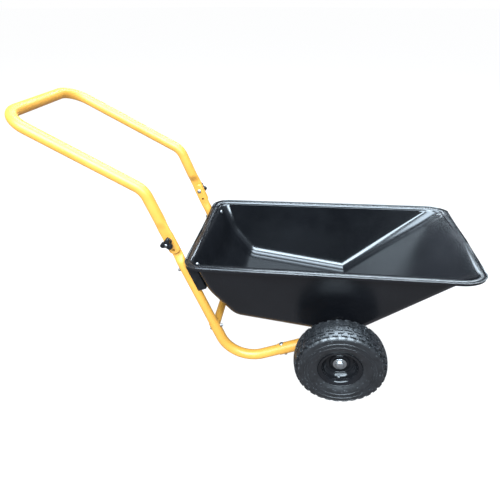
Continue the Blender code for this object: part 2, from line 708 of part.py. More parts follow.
def make_knob(name):
    """Three-lobed knob on a round hub, bored for the bolt, with a pocket for its nut."""
    top = KNOB_STEP + KNOB_LOBES
    hub = KNOB_HUB_DIAMETER / 2
    lobe = KNOB_DIAMETER / 2
    pocket = KNOB_NUT_ACROSS / 2 / cos(pi / 6) + HOLE_CLEARANCE * 2
    pocket_top = KNOB_NUT_HEIGHT + SEAT_GAP
    rings = [knob_ring(0.0, hub - KNOB_EDGE), knob_ring(KNOB_STEP - KNOB_EDGE, hub),
             knob_ring(KNOB_STEP, lobe - KNOB_EDGE, LOBE_SHARE),
             knob_ring(KNOB_STEP + KNOB_EDGE, lobe, LOBE_SHARE),
             knob_ring(top - KNOB_EDGE, lobe, LOBE_SHARE), knob_ring(top, lobe - KNOB_EDGE, LOBE_SHARE),
             knob_ring(top, hinge_hole), knob_ring(pocket_top, hinge_hole),
             knob_ring(pocket_top, pocket), knob_ring(0.0, pocket)]
    bm = bmesh.new()
    loops = [[bm.verts.new(point) for point in ring] for ring in rings]
    for near, far in zip(loops, loops[1:] + loops[:1]):
        bridge(bm, near, far)
    return finish(name, bm, PLASTIC)


def make_hinge(side, word):
    """Hinge bolt from the inside, wing knob and the nut set into it."""
    outward = ACROSS * side
    knob_base = on_slant(hinge_up) + outward * knob_seat
    aim(make_knob("knob_" + word), knob_base, outward)
    aim(make_nut("knob_nut_" + word, HINGE_BOLT, KNOB_NUT_ACROSS, KNOB_NUT_HEIGHT), knob_base, outward)
    head_seat = half_spacing - SEAT_GAP / 2 - UPPER_PRESSED - SEAT_GAP
    length = knob_seat + KNOB_STEP + KNOB_LOBES + KNOB_BOLT_PROUD - head_seat
    made = make_bolt("hinge_bolt_" + word, HINGE_BOLT, HINGE_BOLT_HEAD, length)
    aim(made, on_slant(hinge_up) + outward * head_seat, -outward)


def make_axle():
    """Axle through the plates and the tub's lugs, with spacers, washers and pressed caps."""
    half_track = WHEEL_TRACK / 2
    washer_at = half_track + HUB_OUTER_END + BUSH_FLANGE + SEAT_GAP * 2
    cap_at = washer_at + WASHER_THICKNESS + SEAT_GAP
    pocket = AXLE_CAP_HEIGHT - CAP_CROWN
    end = cap_at + pocket - SEAT_GAP
    aim(turned("axle", rod(axle_radius, -end, end), SHAFT_SIDES, STEEL), axle, ACROSS)
    spacer_from = plate_middle + PLATE_THICKNESS / 2 + SEAT_GAP
    spacer_to = half_track - HUB_INNER_END - BUSH_FLANGE - SEAT_GAP * 2
    radius = AXLE_CAP_DIAMETER / 2
    dome = [(radius * out, AXLE_CAP_HEIGHT * up) for out, up in CAP_DOME_SHARES]
    cap = [(0, pocket), (axle_bore, pocket), (axle_bore, 0), (radius, 0), (radius, CAP_SKIRT), *dome,
           (0, AXLE_CAP_HEIGHT)]
    pieces = (("axle_spacer_", sleeve(SPACER_DIAMETER / 2, axle_bore, 0, spacer_to - spacer_from),
               spacer_from),
              ("axle_washer_", sleeve(WASHER_DIAMETER / 2, axle_bore, 0, WASHER_THICKNESS), washer_at),
              ("axle_cap_", cap, cap_at))
    for word, side in SIDES:
        for name, profile, place in pieces:
            made = turned(name + word, profile, SHAFT_SIDES, STEEL)
            aim(made, axle + ACROSS * side * place, ACROSS * side)


def sheet(line, thickness):
    """Closed outline of a thin sheet from its middle line of (radius, height) points."""
    points = [Vector(point) for point in line]
    ways = [(after - before).normalized() for before, after in zip(points, points[1:])]
    left = []
    right = []
    for point, before, after in zip(points, ways[:1] + ways, ways + ways[-1:]):
        mitre = (before + after).normalized()
        normal = Vector((-mitre.y, mitre.x)) * thickness / 2 / mitre.dot(before)
        left.append(tuple(point + normal))
        right.append(tuple(point - normal))
    return left + right[::-1]


def inset(outline, depth):
    """Closed outline, given anticlockwise, moved inwards by this depth."""
    points = [Vector(point) for point in outline]
    moved = []
    for before, point, after in zip(points[-1:] + points, points, points[1:] + points[:1]):
        arriving = (point - before).normalized()
        mitre = (arriving + (after - point).normalized()).normalized()
        inward = Vector((-mitre.y, mitre.x))
        moved.append(tuple(point + inward * depth / mitre.dot(arriving)))
    return moved


def both_flanks(flank):
    """Closed outline from one flank's (radius, height) points and its mirror."""
    return flank + [(radius, -height) for radius, height in flank[::-1]]


def make_tyre(word, centre, outward):
    """Open tyre carcass, bead to bead, and the inner tube that fills it."""
    bead = BEAD_DIAMETER / 2
    crown = WHEEL_DIAMETER / 2
    half = TYRE_WIDTH / 2
    lip = FLANGE_DIAMETER / 2
    foot = FLANGE_WIDTH / 2 - RIM_SHEET - SEAT_GAP * 2 - RIM_LIP_SLANT
    skin = crown - TREAD_DEPTH - TYRE_WALL
    widest = crown - half * CAVITY_SHARE_DOWN
    flank = [(crown - half * depth, half * out) for depth, out in FLANK_SHARES]
    flank += [(lip + SEAT_GAP * 3, foot + RIM_LIP_SLANT), (bead, foot), (bead, foot - TYRE_WALL * 2),
              (lip, foot - TYRE_WALL), (widest, half - TYRE_WALL), (skin, half * CAVITY_SHARE_OUT)]
    aim(turned("tyre_" + word, both_flanks(flank), WHEEL_SIDES, RUBBER), centre, outward)

    low = bead + INNER_TUBE_CLEAR
    outside = both_flanks([(skin - SEAT_GAP, half * CAVITY_SHARE_OUT - SEAT_GAP),
                           (widest, half - TYRE_WALL - SEAT_GAP), (low, foot - TYRE_WALL * 2)])
    inner_tube = aim(turned("inner_tube_" + word, outside, WHEEL_SIDES, RUBBER), centre, outward)
    air = aim(turned("air", inset(outside, TUBE_RUBBER), WHEEL_SIDES, RUBBER), centre, outward)
    combine(inner_tube, air, "DIFFERENCE")
    drill(inner_tube, centre - UP * low + outward * VALVE_SEAT / 2, UP, VALVE_BORE / 2, TUBE_RUBBER * 4)


def make_hub(word, centre, outward):
    """Hub with a flanged bush at each end."""
    hub = HUB_DIAMETER / 2
    inside = hub - HUB_WALL
    made = turned("hub_" + word, sleeve(hub, inside, -HUB_INNER_END, HUB_OUTER_END), WHEEL_SIDES, GLOSS)
    aim(made, centre, outward)
    profile = [(axle_bore, -BUSH_LENGTH), (inside - SEAT_GAP, -BUSH_LENGTH),
               (inside - SEAT_GAP, SEAT_GAP), (hub, SEAT_GAP), (hub, SEAT_GAP + BUSH_FLANGE),
               (axle_bore, SEAT_GAP + BUSH_FLANGE)]
    for place, end, way in (("outer", HUB_OUTER_END, outward), ("inner", HUB_INNER_END, -outward)):
        made = turned("hub_bush_" + place + "_" + word, profile, SHAFT_SIDES, NYLON)
        aim(made, centre + way * end, way)
        set_origin(made, centre)


def make_rim(word, centre, outward):
    """Two pressed halves that meet face to face round the hub; returns the outer one."""
    edge = HUB_DIAMETER / 2 + SEAT_GAP
    boss = HUB_DIAMETER / 2 + BOSS_REACH
    step = DISH_RING / 2
    contact = (RIM_SHEET + SEAT_GAP) / 2
    lip_foot = FLANGE_WIDTH / 2 - RIM_SHEET / 2 - RIM_LIP_SLANT
    lip = [(rim_well, lip_foot), (FLANGE_DIAMETER / 2 - RIM_SHEET / 2, FLANGE_WIDTH / 2 - RIM_SHEET / 2)]
    outboard = [(edge, DISH_BOSS), (boss, DISH_BOSS), (boss + DISH_BLEND, contact), (step, contact),
                (step + DISH_BLEND, DISH_STEP), (rim_well - DISH_BLEND, DISH_STEP)]
    inboard = [(edge, contact), (rim_well - DISH_BLEND, contact)]
    outer = turned("rim_outer_half_" + word, sheet(outboard + lip, RIM_SHEET), WHEEL_SIDES, GLOSS)
    inner = turned("rim_inner_half_" + word, sheet(inboard + lip, RIM_SHEET), WHEEL_SIDES, GLOSS)
    aim(inner, centre, -outward)
    return aim(outer, centre, outward)


def make_valve(word, centre, outward, rim):
    """Valve stem through the outer half's well, straight below the axle, with its cap."""
    lean = UP * cos(VALVE_SLANT) + outward * sin(VALVE_SLANT)
    foot = centre - UP * (rim_well + VALVE_FOOT) + outward * VALVE_SEAT
    radius = VALVE_DIAMETER / 2
    thread = VALVE_THREAD / 2
    stem = turned("valve_stem_" + word, [(0, 0), (radius, 0), (radius, VALVE_THICK_LENGTH),
                                         (thread, VALVE_THICK_LENGTH + VALVE_NECK),
                                         (thread, VALVE_LENGTH), (0, VALVE_LENGTH)],
                  SMALL_SIDES, RUBBER)
    aim(stem, foot, lean)
    inside = thread + HOLE_CLEARANCE
    pocket = VALVE_CAP_OVER + SEAT_GAP
    cap = turned("valve_cap_" + word, [(0, VALVE_CAP_LENGTH), (radius, VALVE_CAP_LENGTH), (radius, 0),
                                       (inside, 0), (inside, pocket), (0, pocket)], SMALL_SIDES, PLASTIC)
    aim(cap, foot + lean * (VALVE_LENGTH - VALVE_CAP_OVER), lean)
    drill(rim, foot + lean * VALVE_FOOT, lean, radius + HOLE_CLEARANCE, VALVE_LENGTH)
    set_origin(stem, centre)
    set_origin(cap, centre)


def make_wheel(side, word):
    """Everything that turns with one wheel; outboard is each round piece's local Z."""
    outward = ACROSS * side
    centre = axle + outward * WHEEL_TRACK / 2
    make_tyre(word, centre, outward)
    make_hub(word, centre, outward)
    make_valve(word, centre, outward, make_rim(word, centre, outward))


make_tub()
for word, side in SIDES:
    make_upper_tube(side, word)
    make_foot_tube(side, word)
    make_front_arm(side, word)
    make_axle_plate(side, word)
    make_spacer_block(side, word)
    make_fasteners(side, word)
    make_hinge(side, word)
    make_wheel(side, word)
make_brace()
make_handle()
make_axle()
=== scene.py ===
import json
from math import asin, atan2, ceil, cos, floor, pi, radians, sin, sqrt, tan

import bmesh
import bpy
from mathutils import Matrix, Vector


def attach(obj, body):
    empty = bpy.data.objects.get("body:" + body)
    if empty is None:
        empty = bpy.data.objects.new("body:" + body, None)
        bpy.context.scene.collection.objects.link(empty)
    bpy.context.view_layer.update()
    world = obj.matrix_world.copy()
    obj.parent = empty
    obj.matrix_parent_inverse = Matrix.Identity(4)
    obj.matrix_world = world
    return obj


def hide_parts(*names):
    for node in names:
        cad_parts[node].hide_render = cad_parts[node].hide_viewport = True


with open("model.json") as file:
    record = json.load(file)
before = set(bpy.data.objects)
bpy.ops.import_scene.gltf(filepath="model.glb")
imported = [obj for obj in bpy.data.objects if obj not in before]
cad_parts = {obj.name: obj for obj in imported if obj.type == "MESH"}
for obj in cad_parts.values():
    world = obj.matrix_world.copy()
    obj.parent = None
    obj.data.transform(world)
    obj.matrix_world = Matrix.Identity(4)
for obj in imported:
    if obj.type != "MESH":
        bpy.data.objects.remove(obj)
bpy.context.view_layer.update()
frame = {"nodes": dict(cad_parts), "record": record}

# Yard cart. X runs forward to the tub's nose, Y to the cart's left, Z up from the ground, in metres.
# The slanted line is the centre line of the frame's slanted tubes; "up" lengths are measured along it.
cart = {
    "axle": (0.2855, 0.0, 0.130),
    "lean": 68.2,              # slanted line from the ground, degrees
    "footBendRadius": 0.100,
    "footBendBack": 0.2706,    # bend's centre behind the axle
    "footRadius": 0.0163,      # outside radii of the tubes
    "armRadius": 0.0181,
    "upperRadius": 0.0143,
    "handleRadius": 0.016,
    "halfSpacing": 0.183,      # tubes from the middle plane
    "wall": 0.0016,
    "footBoltUp": 0.0437,
    "tubBoltUp": 0.270963,
    "hingeUp": 0.371663,
    "rootUp": 0.295063,        # underside of the tub's rear rim
    "armBoltBack": 0.164,
    "tubFace": 0.0379,         # tub's rear wall in front of the slanted line
    "gap": 0.0003,             # between pieces that rest on each other
}
sides = (("left", 1), ("right", -1))
across = Vector((0.0, 1.0, 0.0))
level = Vector((1.0, 0.0, 0.0))
up = Vector((0.0, 0.0, 1.0))
axle = Vector(cart["axle"])
lean = radians(cart["lean"])
upSlant = Vector((-cos(lean), 0.0, sin(lean)))
toTub = Vector((sin(lean), 0.0, cos(lean)))
bendCentre = Vector((axle.x - cart["footBendBack"], 0.0, cart["footRadius"] + cart["footBendRadius"]))
slantStart = bendCentre - toTub * cart["footBendRadius"]
toBend = bendCentre - axle
armRise = asin(cart["footBendRadius"] / toBend.length) - atan2(toBend.z, -toBend.x)
upArm = Vector((cos(armRise), 0.0, sin(armRise)))
overArm = Vector((-sin(armRise), 0.0, cos(armRise)))
gap = cart["gap"]

record = frame["record"]
bodyOf = {node: body for body, nodes in record["behaviour"]["bodies"].items() for node in nodes}


# Point this far up the slanted line, off it towards the tub, on one side of the cart
def onSlant(distance, side=0, off=0.0):
    return slantStart + upSlant * distance + toTub * off + across * side * cart["halfSpacing"]


# Point of the arm's line this far behind the axle
def onArm(back, side):
    return axle - upArm * (back / cos(armRise)) + across * side * cart["halfSpacing"]


# Transform that puts the origin at a point with Z along the given direction
def placeAt(point, along):
    return Matrix.Translation(point) @ along.to_track_quat("Z", "Y").to_matrix().to_4x4()


print("finishes")

# colours: two linear tones that a slow mottle mixes; roughness: lowest and highest;
# grain: (texture scale, height in metres) of each bump, coarse to fine; specular: 0.5 unless given;
# specks: pale marks in the cells of a pattern, where "plain" is the share of cells without one
finishes = {
    "paint": {"colours": ((0.45, 0.206, 0.027), (0.50, 0.230, 0.034)), "mottle": 14, "roughness": (0.36, 0.48),
              "grain": ((420, 0.00004), (1500, 0.00001))},
    "plastic": {"colours": ((0.0018, 0.0020, 0.0026), (0.0034, 0.0036, 0.0045)), "mottle": 5,
                "roughness": (0.21, 0.26), "grain": ((900, 0.000006), (2600, 0.000004)), "specular": 0.72},
    "block": {"colours": ((0.004, 0.004, 0.0045), (0.009, 0.009, 0.010)), "mottle": 40,
              "roughness": (0.38, 0.54), "grain": ((1500, 0.00002),), "specular": 0.15},
    "knob": {"colours": ((0.004, 0.004, 0.005), (0.008, 0.008, 0.009)), "mottle": 60,
             "roughness": (0.30, 0.42), "grain": ((2200, 0.000012),), "specular": 0.22},
    "rubber": {"colours": ((0.0035, 0.0037, 0.0043), (0.0075, 0.0078, 0.0090)), "mottle": 30,
               "roughness": (0.34, 0.46), "grain": ((520, 0.00004), (1900, 0.00002)), "specular": 0.86,
               "specks": {"scale": 150, "colour": (0.075, 0.08, 0.085), "plain": 0.66, "size": (0.15, 0.24)}},
    "butyl": {"colours": ((0.012, 0.012, 0.012), (0.026, 0.026, 0.027)), "mottle": 25,
              "roughness": (0.58, 0.76), "grain": ((900, 0.00004),)},
    "gloss": {"colours": ((0.004, 0.004, 0.0045), (0.007, 0.007, 0.008)), "mottle": 20,
              "roughness": (0.07, 0.12), "grain": ((380, 0.000006),), "specular": 0.34},
    "zinc": {"colours": ((0.46, 0.47, 0.49), (0.58, 0.57, 0.55)), "mottle": 55, "roughness": (0.34, 0.46),
             "grain": ((900, 0.00001), (3200, 0.000006)), "metallic": 1.0},
    "nylon": {"colours": ((0.52, 0.52, 0.49), (0.64, 0.64, 0.60)), "mottle": 45, "roughness": (0.40, 0.55),
              "grain": ((1300, 0.00002),)},
    "stemRubber": {"colours": ((0.014, 0.014, 0.015), (0.027, 0.027, 0.028)), "mottle": 70,
                   "roughness": (0.50, 0.66), "grain": ((1600, 0.00003),)},
    "capPlastic": {"colours": ((0.016, 0.016, 0.017), (0.024, 0.024, 0.026)), "mottle": 90,
                   "roughness": (0.30, 0.44), "grain": ((2400, 0.00001),)},
}
toneStops = (0.32, 0.70)       # places of the two tones on the mottle's scale
wearRange = (0.3, 0.7)         # noise values that give the lowest and the highest roughness
noiseDetail = {"mottle": 5, "wear": 6, "grain": 2}


# Noise over the piece's own coordinates
def addNoise(nodes, links, place, scale, kind):
    noise = nodes.new("ShaderNodeTexNoise")
    noise.inputs["Scale"].default_value = scale
    noise.inputs["Detail"].default_value = noiseDetail[kind]
    links.new(place.outputs["Object"], noise.inputs["Vector"])
    return noise.outputs["Fac"]


def addRange(nodes, links, value, given, wanted):
    spread = nodes.new("ShaderNodeMapRange")
    for socket, number in zip(("From Min", "From Max", "To Min", "To Max"), (*given, *wanted)):
        spread.inputs[socket].default_value = number
    links.new(value, spread.inputs["Value"])
    return spread.outputs["Result"]


# Small pale moulding marks, in some of the cells of a cell pattern
def addSpecks(nodes, links, place, base, specks):
    cells = nodes.new("ShaderNodeTexVoronoi")
    cells.inputs["Scale"].default_value = specks["scale"]
    links.new(place.outputs["Object"], cells.inputs["Vector"])
    chance = nodes.new("ShaderNodeSeparateColor")
    links.new(cells.outputs["Color"], chance.inputs["Color"])
    chosen = nodes.new("ShaderNodeMath")
    chosen.operation = "GREATER_THAN"
    chosen.inputs[1].default_value = specks["plain"]
    links.new(chance.outputs["Red"], chosen.inputs[0])
    share = nodes.new("ShaderNodeMath")
    share.operation = "MULTIPLY"
    links.new(chosen.outputs["Value"], share.inputs[0])
    links.new(addRange(nodes, links, cells.outputs["Distance"], specks["size"], (1.0, 0.0)), share.inputs[1])
    blend = nodes.new("ShaderNodeMix")
    blend.data_type = "RGBA"
    blend.inputs["B"].default_value = (*specks["colour"], 1.0)
    links.new(share.outputs["Value"], blend.inputs["Factor"])
    links.new(base, blend.inputs["A"])
    return blend.outputs["Result"]


def makeFinish(name, look):
    made = bpy.data.materials.new(name)
    made.use_nodes = True
    nodes, links = made.node_tree.nodes, made.node_tree.links
    shader = nodes["Principled BSDF"]
    shader.inputs["Metallic"].default_value = look.get("metallic", 0.0)
    shader.inputs["Specular IOR Level"].default_value = look.get("specular", 0.5)
    place = nodes.new("ShaderNodeTexCoord")
    tones = nodes.new("ShaderNodeValToRGB")
    for stop, colour, at in zip(tones.color_ramp.elements, look["colours"], toneStops):
        stop.color = (*colour, 1.0)
        stop.position = at
    links.new(addNoise(nodes, links, place, look["mottle"], "mottle"), tones.inputs["Fac"])
    base = tones.outputs["Color"]
    if "specks" in look:
        base = addSpecks(nodes, links, place, base, look["specks"])
    links.new(base, shader.inputs["Base Color"])
    wear = addNoise(nodes, links, place, look["mottle"] * 4, "wear")
    links.new(addRange(nodes, links, wear, wearRange, look["roughness"]), shader.inputs["Roughness"])
    normal = None
    for scale, height in look["grain"]:
        bump = nodes.new("ShaderNodeBump")
        bump.inputs["Distance"].default_value = height
        links.new(addNoise(nodes, links, place, scale, "grain"), bump.inputs["Height"])
        if normal:
            links.new(normal, bump.inputs["Normal"])
        normal = bump.outputs["Normal"]
    links.new(normal, shader.inputs["Normal"])
    return made


looks = {name: makeFinish(name + "Finish", look) for name, look in finishes.items()}


def addObject(name, data):
    made = bpy.data.objects.new(name, data)
    bpy.context.scene.collection.objects.link(made)
    return made


def addShape(name, bm):
    mesh = bpy.data.meshes.new(name)
    bm.to_mesh(mesh)
    bm.free()
    return addObject(name, mesh)


# Puts new geometry in an object that stands for one node of the model
def standFor(node, bm, look, merge=0.000005):
    bmesh.ops.remove_doubles(bm, verts=bm.verts, dist=merge)
    bmesh.ops.recalc_face_normals(bm, faces=bm.faces)
    piece = addShape(node + "_shape", bm)
    piece.data.materials.append(looks[look])
    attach(piece, bodyOf[node])
    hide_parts(node)
    return piece


# Cuts or joins closed shapes (each its own bmesh) and keeps the result as the piece's mesh
def workShape(piece, wall=0.0, cuts=(), joins=(), within=(), even=True, offset=-1):
    if wall:
        shell = piece.modifiers.new("wall", "SOLIDIFY")
        shell.thickness = wall
        shell.offset = offset
        shell.use_even_offset = even
        shell.use_quality_normals = True
    helpers = []
    for operation, shapes in (("UNION", joins), ("INTERSECT", within), ("DIFFERENCE", cuts)):
        for shape in shapes:
            bmesh.ops.recalc_face_normals(shape, faces=shape.faces)
            helper = addShape("helper", shape)
            change = piece.modifiers.new("change", "BOOLEAN")
            change.object = helper
            change.operation = operation
            change.solver = "EXACT"
            helpers.append(helper)
    graph = bpy.context.evaluated_depsgraph_get()
    shaped = bpy.data.meshes.new_from_object(piece.evaluated_get(graph))
    shaped.name = piece.name
    rough = piece.data
    piece.modifiers.clear()
    piece.data = shaped
    bpy.data.meshes.remove(rough)
    for helper in helpers:
        mesh = helper.data
        bpy.data.objects.remove(helper, do_unlink=True)
        bpy.data.meshes.remove(mesh)
    while len(shaped.materials) > 1:
        shaped.materials.pop(index=len(shaped.materials) - 1)


# Smooth shading with crisp edges, and a fine rounding along them where a width is given
def smoothOff(piece, sharp=38, edge=0.0):
    piece.data.shade_smooth()
    piece.data.set_sharp_from_angle(angle=radians(sharp))
    if edge:
        rounding = piece.modifiers.new("edge", "BEVEL")
        rounding.width = edge
        rounding.segments = 2
        rounding.limit_method = "ANGLE"
        rounding.angle_limit = radians(sharp)
        rounding.harden_normals = True


# Spins a bmesh's edges once round Z
def spinRound(bm, steps):
    bmesh.ops.spin(bm, geom=bm.verts[:] + bm.edges[:], cent=(0, 0, 0), axis=(0, 0, 1),
                   dvec=(0, 0, 0), angle=2 * pi, steps=steps, use_merge=True)
    bmesh.ops.remove_doubles(bm, verts=bm.verts, dist=0.000002)


# Solid of revolution about local Z from (radius, height, corner rounding) points
def turn(profile, matrix, steps=48, isOpen=False):
    bm = bmesh.new()
    line = [bm.verts.new((radius, 0.0, height)) for radius, height, *_ in profile]
    closing = [] if isOpen or min(point[0] for point in profile) <= 0 else line[:1]
    for near, far in zip(line, line[1:] + closing):
        bm.edges.new((near, far))
    for vert, point in zip(line, profile):
        if len(point) > 2 and point[2]:
            bmesh.ops.bevel(bm, geom=[vert], offset=point[2], offset_type="OFFSET", segments=4,
                            profile=0.5, affect="VERTICES", material=-1)
    spinRound(bm, steps)
    bmesh.ops.transform(bm, matrix=matrix, verts=bm.verts)
    return bm


# Turned piece for one node; its profile's heights run from the point along the axis
def turnedPiece(node, look, profile, point, along, steps=48, sharp=38):
    smoothOff(standFor(node, turn(profile, placeAt(point, along), steps), look), sharp)


# Closed cylinder for a hole, centred on a point
def rodThrough(point, along, radius, length, steps=32):
    bm = bmesh.new()
    bmesh.ops.create_cone(bm, cap_ends=True, segments=steps, radius1=radius, radius2=radius,
                          depth=length, matrix=placeAt(point, along))
    return bm


# Turns loose corners and a shape into the one solid that wraps them all
def wrapCorners(bm):
    hull = bmesh.ops.convex_hull(bm, input=bm.verts[:])
    bmesh.ops.delete(bm, geom=list(set(hull["geom_interior"] + hull["geom_unused"])), context="VERTS")


def roundEdges(bm, edges, width):
    bmesh.ops.bevel(bm, geom=edges, offset=width, offset_type="OFFSET", segments=3,
                    profile=0.5, affect="EDGES", material=-1)


# Extrudes a row or ring of edges; returns the new verts and the new row's edges
def extrudeRow(bm, edges):
    made = bmesh.ops.extrude_edge_only(bm, edges=edges)["geom"]
    verts = [item for item in made if isinstance(item, bmesh.types.BMVert)]
    fresh = set(verts)
    row = [item for item in made if isinstance(item, bmesh.types.BMEdge)
           and item.verts[0] in fresh and item.verts[1] in fresh]
    return verts, row


# Skin of a tube: a ring carried along straight runs and round the bends between them.
# stops gives extra rings, as distances from the first and from the last corner.
def tubeSkin(corners, bends, radius, sides=48, stops=((), ())):
    way = (corners[1] - corners[0]).normalized()
    facing = Matrix((across, way.cross(across), way)).transposed().to_4x4()
    bm = bmesh.new()
    bmesh.ops.create_circle(bm, segments=sides, radius=radius, matrix=Matrix.Translation(corners[0]) @ facing)
    ring = bm.edges[:]
    here = corners[0]
    for index, corner in enumerate(corners[1:], 1):
        incoming = (corner - corners[index - 1]).normalized()
        last = index == len(corners) - 1
        if last:
            setback = 0.0
        else:
            outgoing = (corners[index + 1] - corner).normalized()
            angle = incoming.angle(outgoing)
            setback = bends[index - 1] * tan(angle / 2)
        end = corner - incoming * setback
        length = (end - here).length
        at = sorted([stop for stop in stops[0] if index == 1] + [length]
                    + [length - stop for stop in stops[1] if last])
        for before, after in zip([0.0] + at, at):
            verts, ring = extrudeRow(bm, ring)
            bmesh.ops.translate(bm, verts=verts, vec=incoming * (after - before))
        if not last:
            axis = incoming.cross(outgoing).normalized()
            centre = end + axis.cross(incoming) * bends[index - 1]
            count = ceil(angle / radians(3))
            spinStep = Matrix.Rotation(angle / count, 3, axis)
            for _ in range(count):
                verts, ring = extrudeRow(bm, ring)
                bmesh.ops.rotate(bm, verts=verts, cent=centre, matrix=spinStep)
            here = corner + outgoing * setback
    bmesh.ops.recalc_face_normals(bm, faces=bm.faces)
    return bm


# Painted tube from its skin: a wall, holes and crisp ends
def paintedTube(node, bm, wall, holes):
    piece = standFor(node, bm, "paint")
    workShape(piece, wall=wall, cuts=holes)
    smoothOff(piece, sharp=42, edge=0.0004)


# Hinge ends, pressed flat from one side; their backs stay rounded
pressed = {
    "tipRound": 0.010,         # length of the rounded tip
    "taper": 0.032,            # where the tube becomes round again
    "spread": 0.001,           # how far the end is wider than its tube, each way
    "edge": 0.003,             # its edges' own height
    "backPower": 2.6, "facePower": 6,
    "spareHole": 0.0043,       # radii of the holes
    "hingeHole": 0.0043,
    "boltHole": 0.0033,
    "spareDrop": 0.031,
    "handle": {"tail": 0.043, "flat": 0.034, "height": 0.0095},
    "upper": {"tail": 0.024, "flat": 0.046, "height": 0.0085},
}


# Distances from the tip at which a pressed end needs rings
def pressStops(shape):
    tip = [pressed["tipRound"] * (1 - cos(pi / 2 * step / 8)) for step in range(1, 9)]
    start = shape["tail"] + shape["flat"]
    return tip + [start + pressed["taper"] * step / 12 for step in range(13)]


# Presses one end of a tube; way runs from the tip into the tube, its back looks to this side
def pressFlat(bm, tip, way, shape, radius, back):
    edge, width = pressed["edge"], radius + pressed["spread"]
    start = shape["tail"] + shape["flat"]
    wideWay = way.cross(across).normalized()
    for vert in bm.verts:
        offset = vert.co - tip
        along = offset.dot(way)
        if along > start + pressed["taper"] + 0.0001 or abs(offset.y) > radius * 1.5:
            continue
        wide, aside = offset.dot(wideWay), offset.y
        share = wide / sqrt(wide * wide + aside * aside)
        isBack = aside * back > 0
        power = pressed["backPower"] if isBack else pressed["facePower"]
        rise = shape["height"] - edge if isBack else -edge
        rise *= max(0.0, 1 - abs(share) ** power) ** (1 / power)
        half = width
        if along < pressed["tipRound"]:
            inTip = 1 - max(along, 0.0) / pressed["tipRound"]
            half -= pressed["tipRound"] * (1 - sqrt(1 - inTip * inTip))
        eased = min(max((along - start) / pressed["taper"], 0.0), 1.0)
        flat = 1 - eased * eased * (3 - 2 * eased)
        wide += (half * share - wide) * flat
        aside += (back * (gap / 2 + edge + rise) - aside) * flat
        vert.co = tip + way * along + wideWay * wide + across * aside


# Shapes that cut a pressed end's hinge hole and its spare hole
def hingeHoles(side):
    hinge = onSlant(cart["hingeUp"], side)
    return [rodThrough(hinge, across, pressed["hingeHole"], 0.05),
            rodThrough(hinge - upSlant * pressed["spareDrop"], across, pressed["spareHole"], 0.05)]


print("handle")

handleBar = {
    "rearAxis": -0.6345,       # centre line of the cross bar
    "legUp": 0.1578,           # bend above the hinge bolt
    "gripRise": 27.3,          # arms from the ground, degrees
    "bend": 0.060,
    "cornerBend": 0.068,
}


def makeHandle():
    radius = cart["handleRadius"]
    legs = []
    for side in (-1, 1):
        tip = onSlant(cart["hingeUp"] - pressed["handle"]["tail"], side)
        bend = onSlant(cart["hingeUp"] + handleBar["legUp"], side)
        rear = handleBar["rearAxis"]
        corner = Vector((rear, bend.y, bend.z + (bend.x - rear) * tan(radians(handleBar["gripRise"]))))
        legs.append([tip, bend, corner])
    stops = pressStops(pressed["handle"])
    bends = [handleBar["bend"], handleBar["cornerBend"], handleBar["cornerBend"], handleBar["bend"]]
    bm = tubeSkin(legs[0] + legs[1][::-1], bends, radius, 64, (stops, stops))
    for side, leg in zip((-1, 1), legs):
        pressFlat(bm, leg[0], upSlant, pressed["handle"], radius, side)
    paintedTube("handle_tube", bm, cart["wall"], hingeHoles(-1) + hingeHoles(1))


makeHandle()

print("frame tubes")

frameTubes = {
    "upperBottomUp": 0.006,
    "footSleeveOver": 0.018,
    "footFrontOver": 0.024,
    "armSleeveOver": 0.013,
    "armFrontBack": 0.029,
    "armWall": 0.0014,
    "braceRadius": 0.0125,
    "braceAboveBolt": 0.003,
}


def makeFrameTubes(word, side):
    boltHole = pressed["boltHole"]
    tip = onSlant(cart["hingeUp"] + pressed["upper"]["tail"], side)
    bottom = onSlant(frameTubes["upperBottomUp"], side)
    footHole = (onSlant(cart["footBoltUp"], side), toTub, boltHole, 0.05)
    armHole = (onArm(cart["armBoltBack"], side), overArm, boltHole, 0.05)
    bm = tubeSkin([tip, bottom], [], cart["upperRadius"], 64, (pressStops(pressed["upper"]), ()))
    pressFlat(bm, tip, -upSlant, pressed["upper"], cart["upperRadius"], -side)
    paintedTube("upper_frame_tube_" + word, bm, cart["wall"], hingeHoles(side) + [
        rodThrough(onSlant(cart["tubBoltUp"], side), toTub, boltHole, 0.05), rodThrough(*footHole)])

    turned = (-upSlant).angle(upArm)
    corners = [onSlant(cart["footBoltUp"] + frameTubes["footSleeveOver"], side),
               onSlant(-cart["footBendRadius"] * tan(turned / 2), side),
               onArm(cart["armBoltBack"] - frameTubes["footFrontOver"], side)]
    bm = tubeSkin(corners, [cart["footBendRadius"]], cart["footRadius"])
    paintedTube("foot_tube_" + word, bm, cart["wall"], [rodThrough(*footHole), rodThrough(*armHole)])

    corners = [onArm(cart["armBoltBack"] + frameTubes["armSleeveOver"], side),
               onArm(frameTubes["armFrontBack"], side)]
    bm = tubeSkin(corners, [], cart["armRadius"])
    paintedTube("front_arm_" + word, bm, frameTubes["armWall"], [rodThrough(*armHole)])


def makeBrace():
    half = cart["halfSpacing"] - cart["footRadius"] / 2
    middle = onSlant(cart["footBoltUp"] + frameTubes["braceAboveBolt"])
    radius = frameTubes["braceRadius"]
    inside = radius - cart["wall"]
    bm = turn([(radius, -half), (radius, half), (inside, half), (inside, -half)], placeAt(middle, across), 40)
    piece = standFor("cross_brace", bm, "paint")
    workShape(piece, cuts=[rodThrough(onSlant(cart["footBoltUp"], side), upSlant,
                                      cart["footRadius"] + gap, 0.12, 48) for side in (1, -1)])
    smoothOff(piece, sharp=42, edge=0.0003)


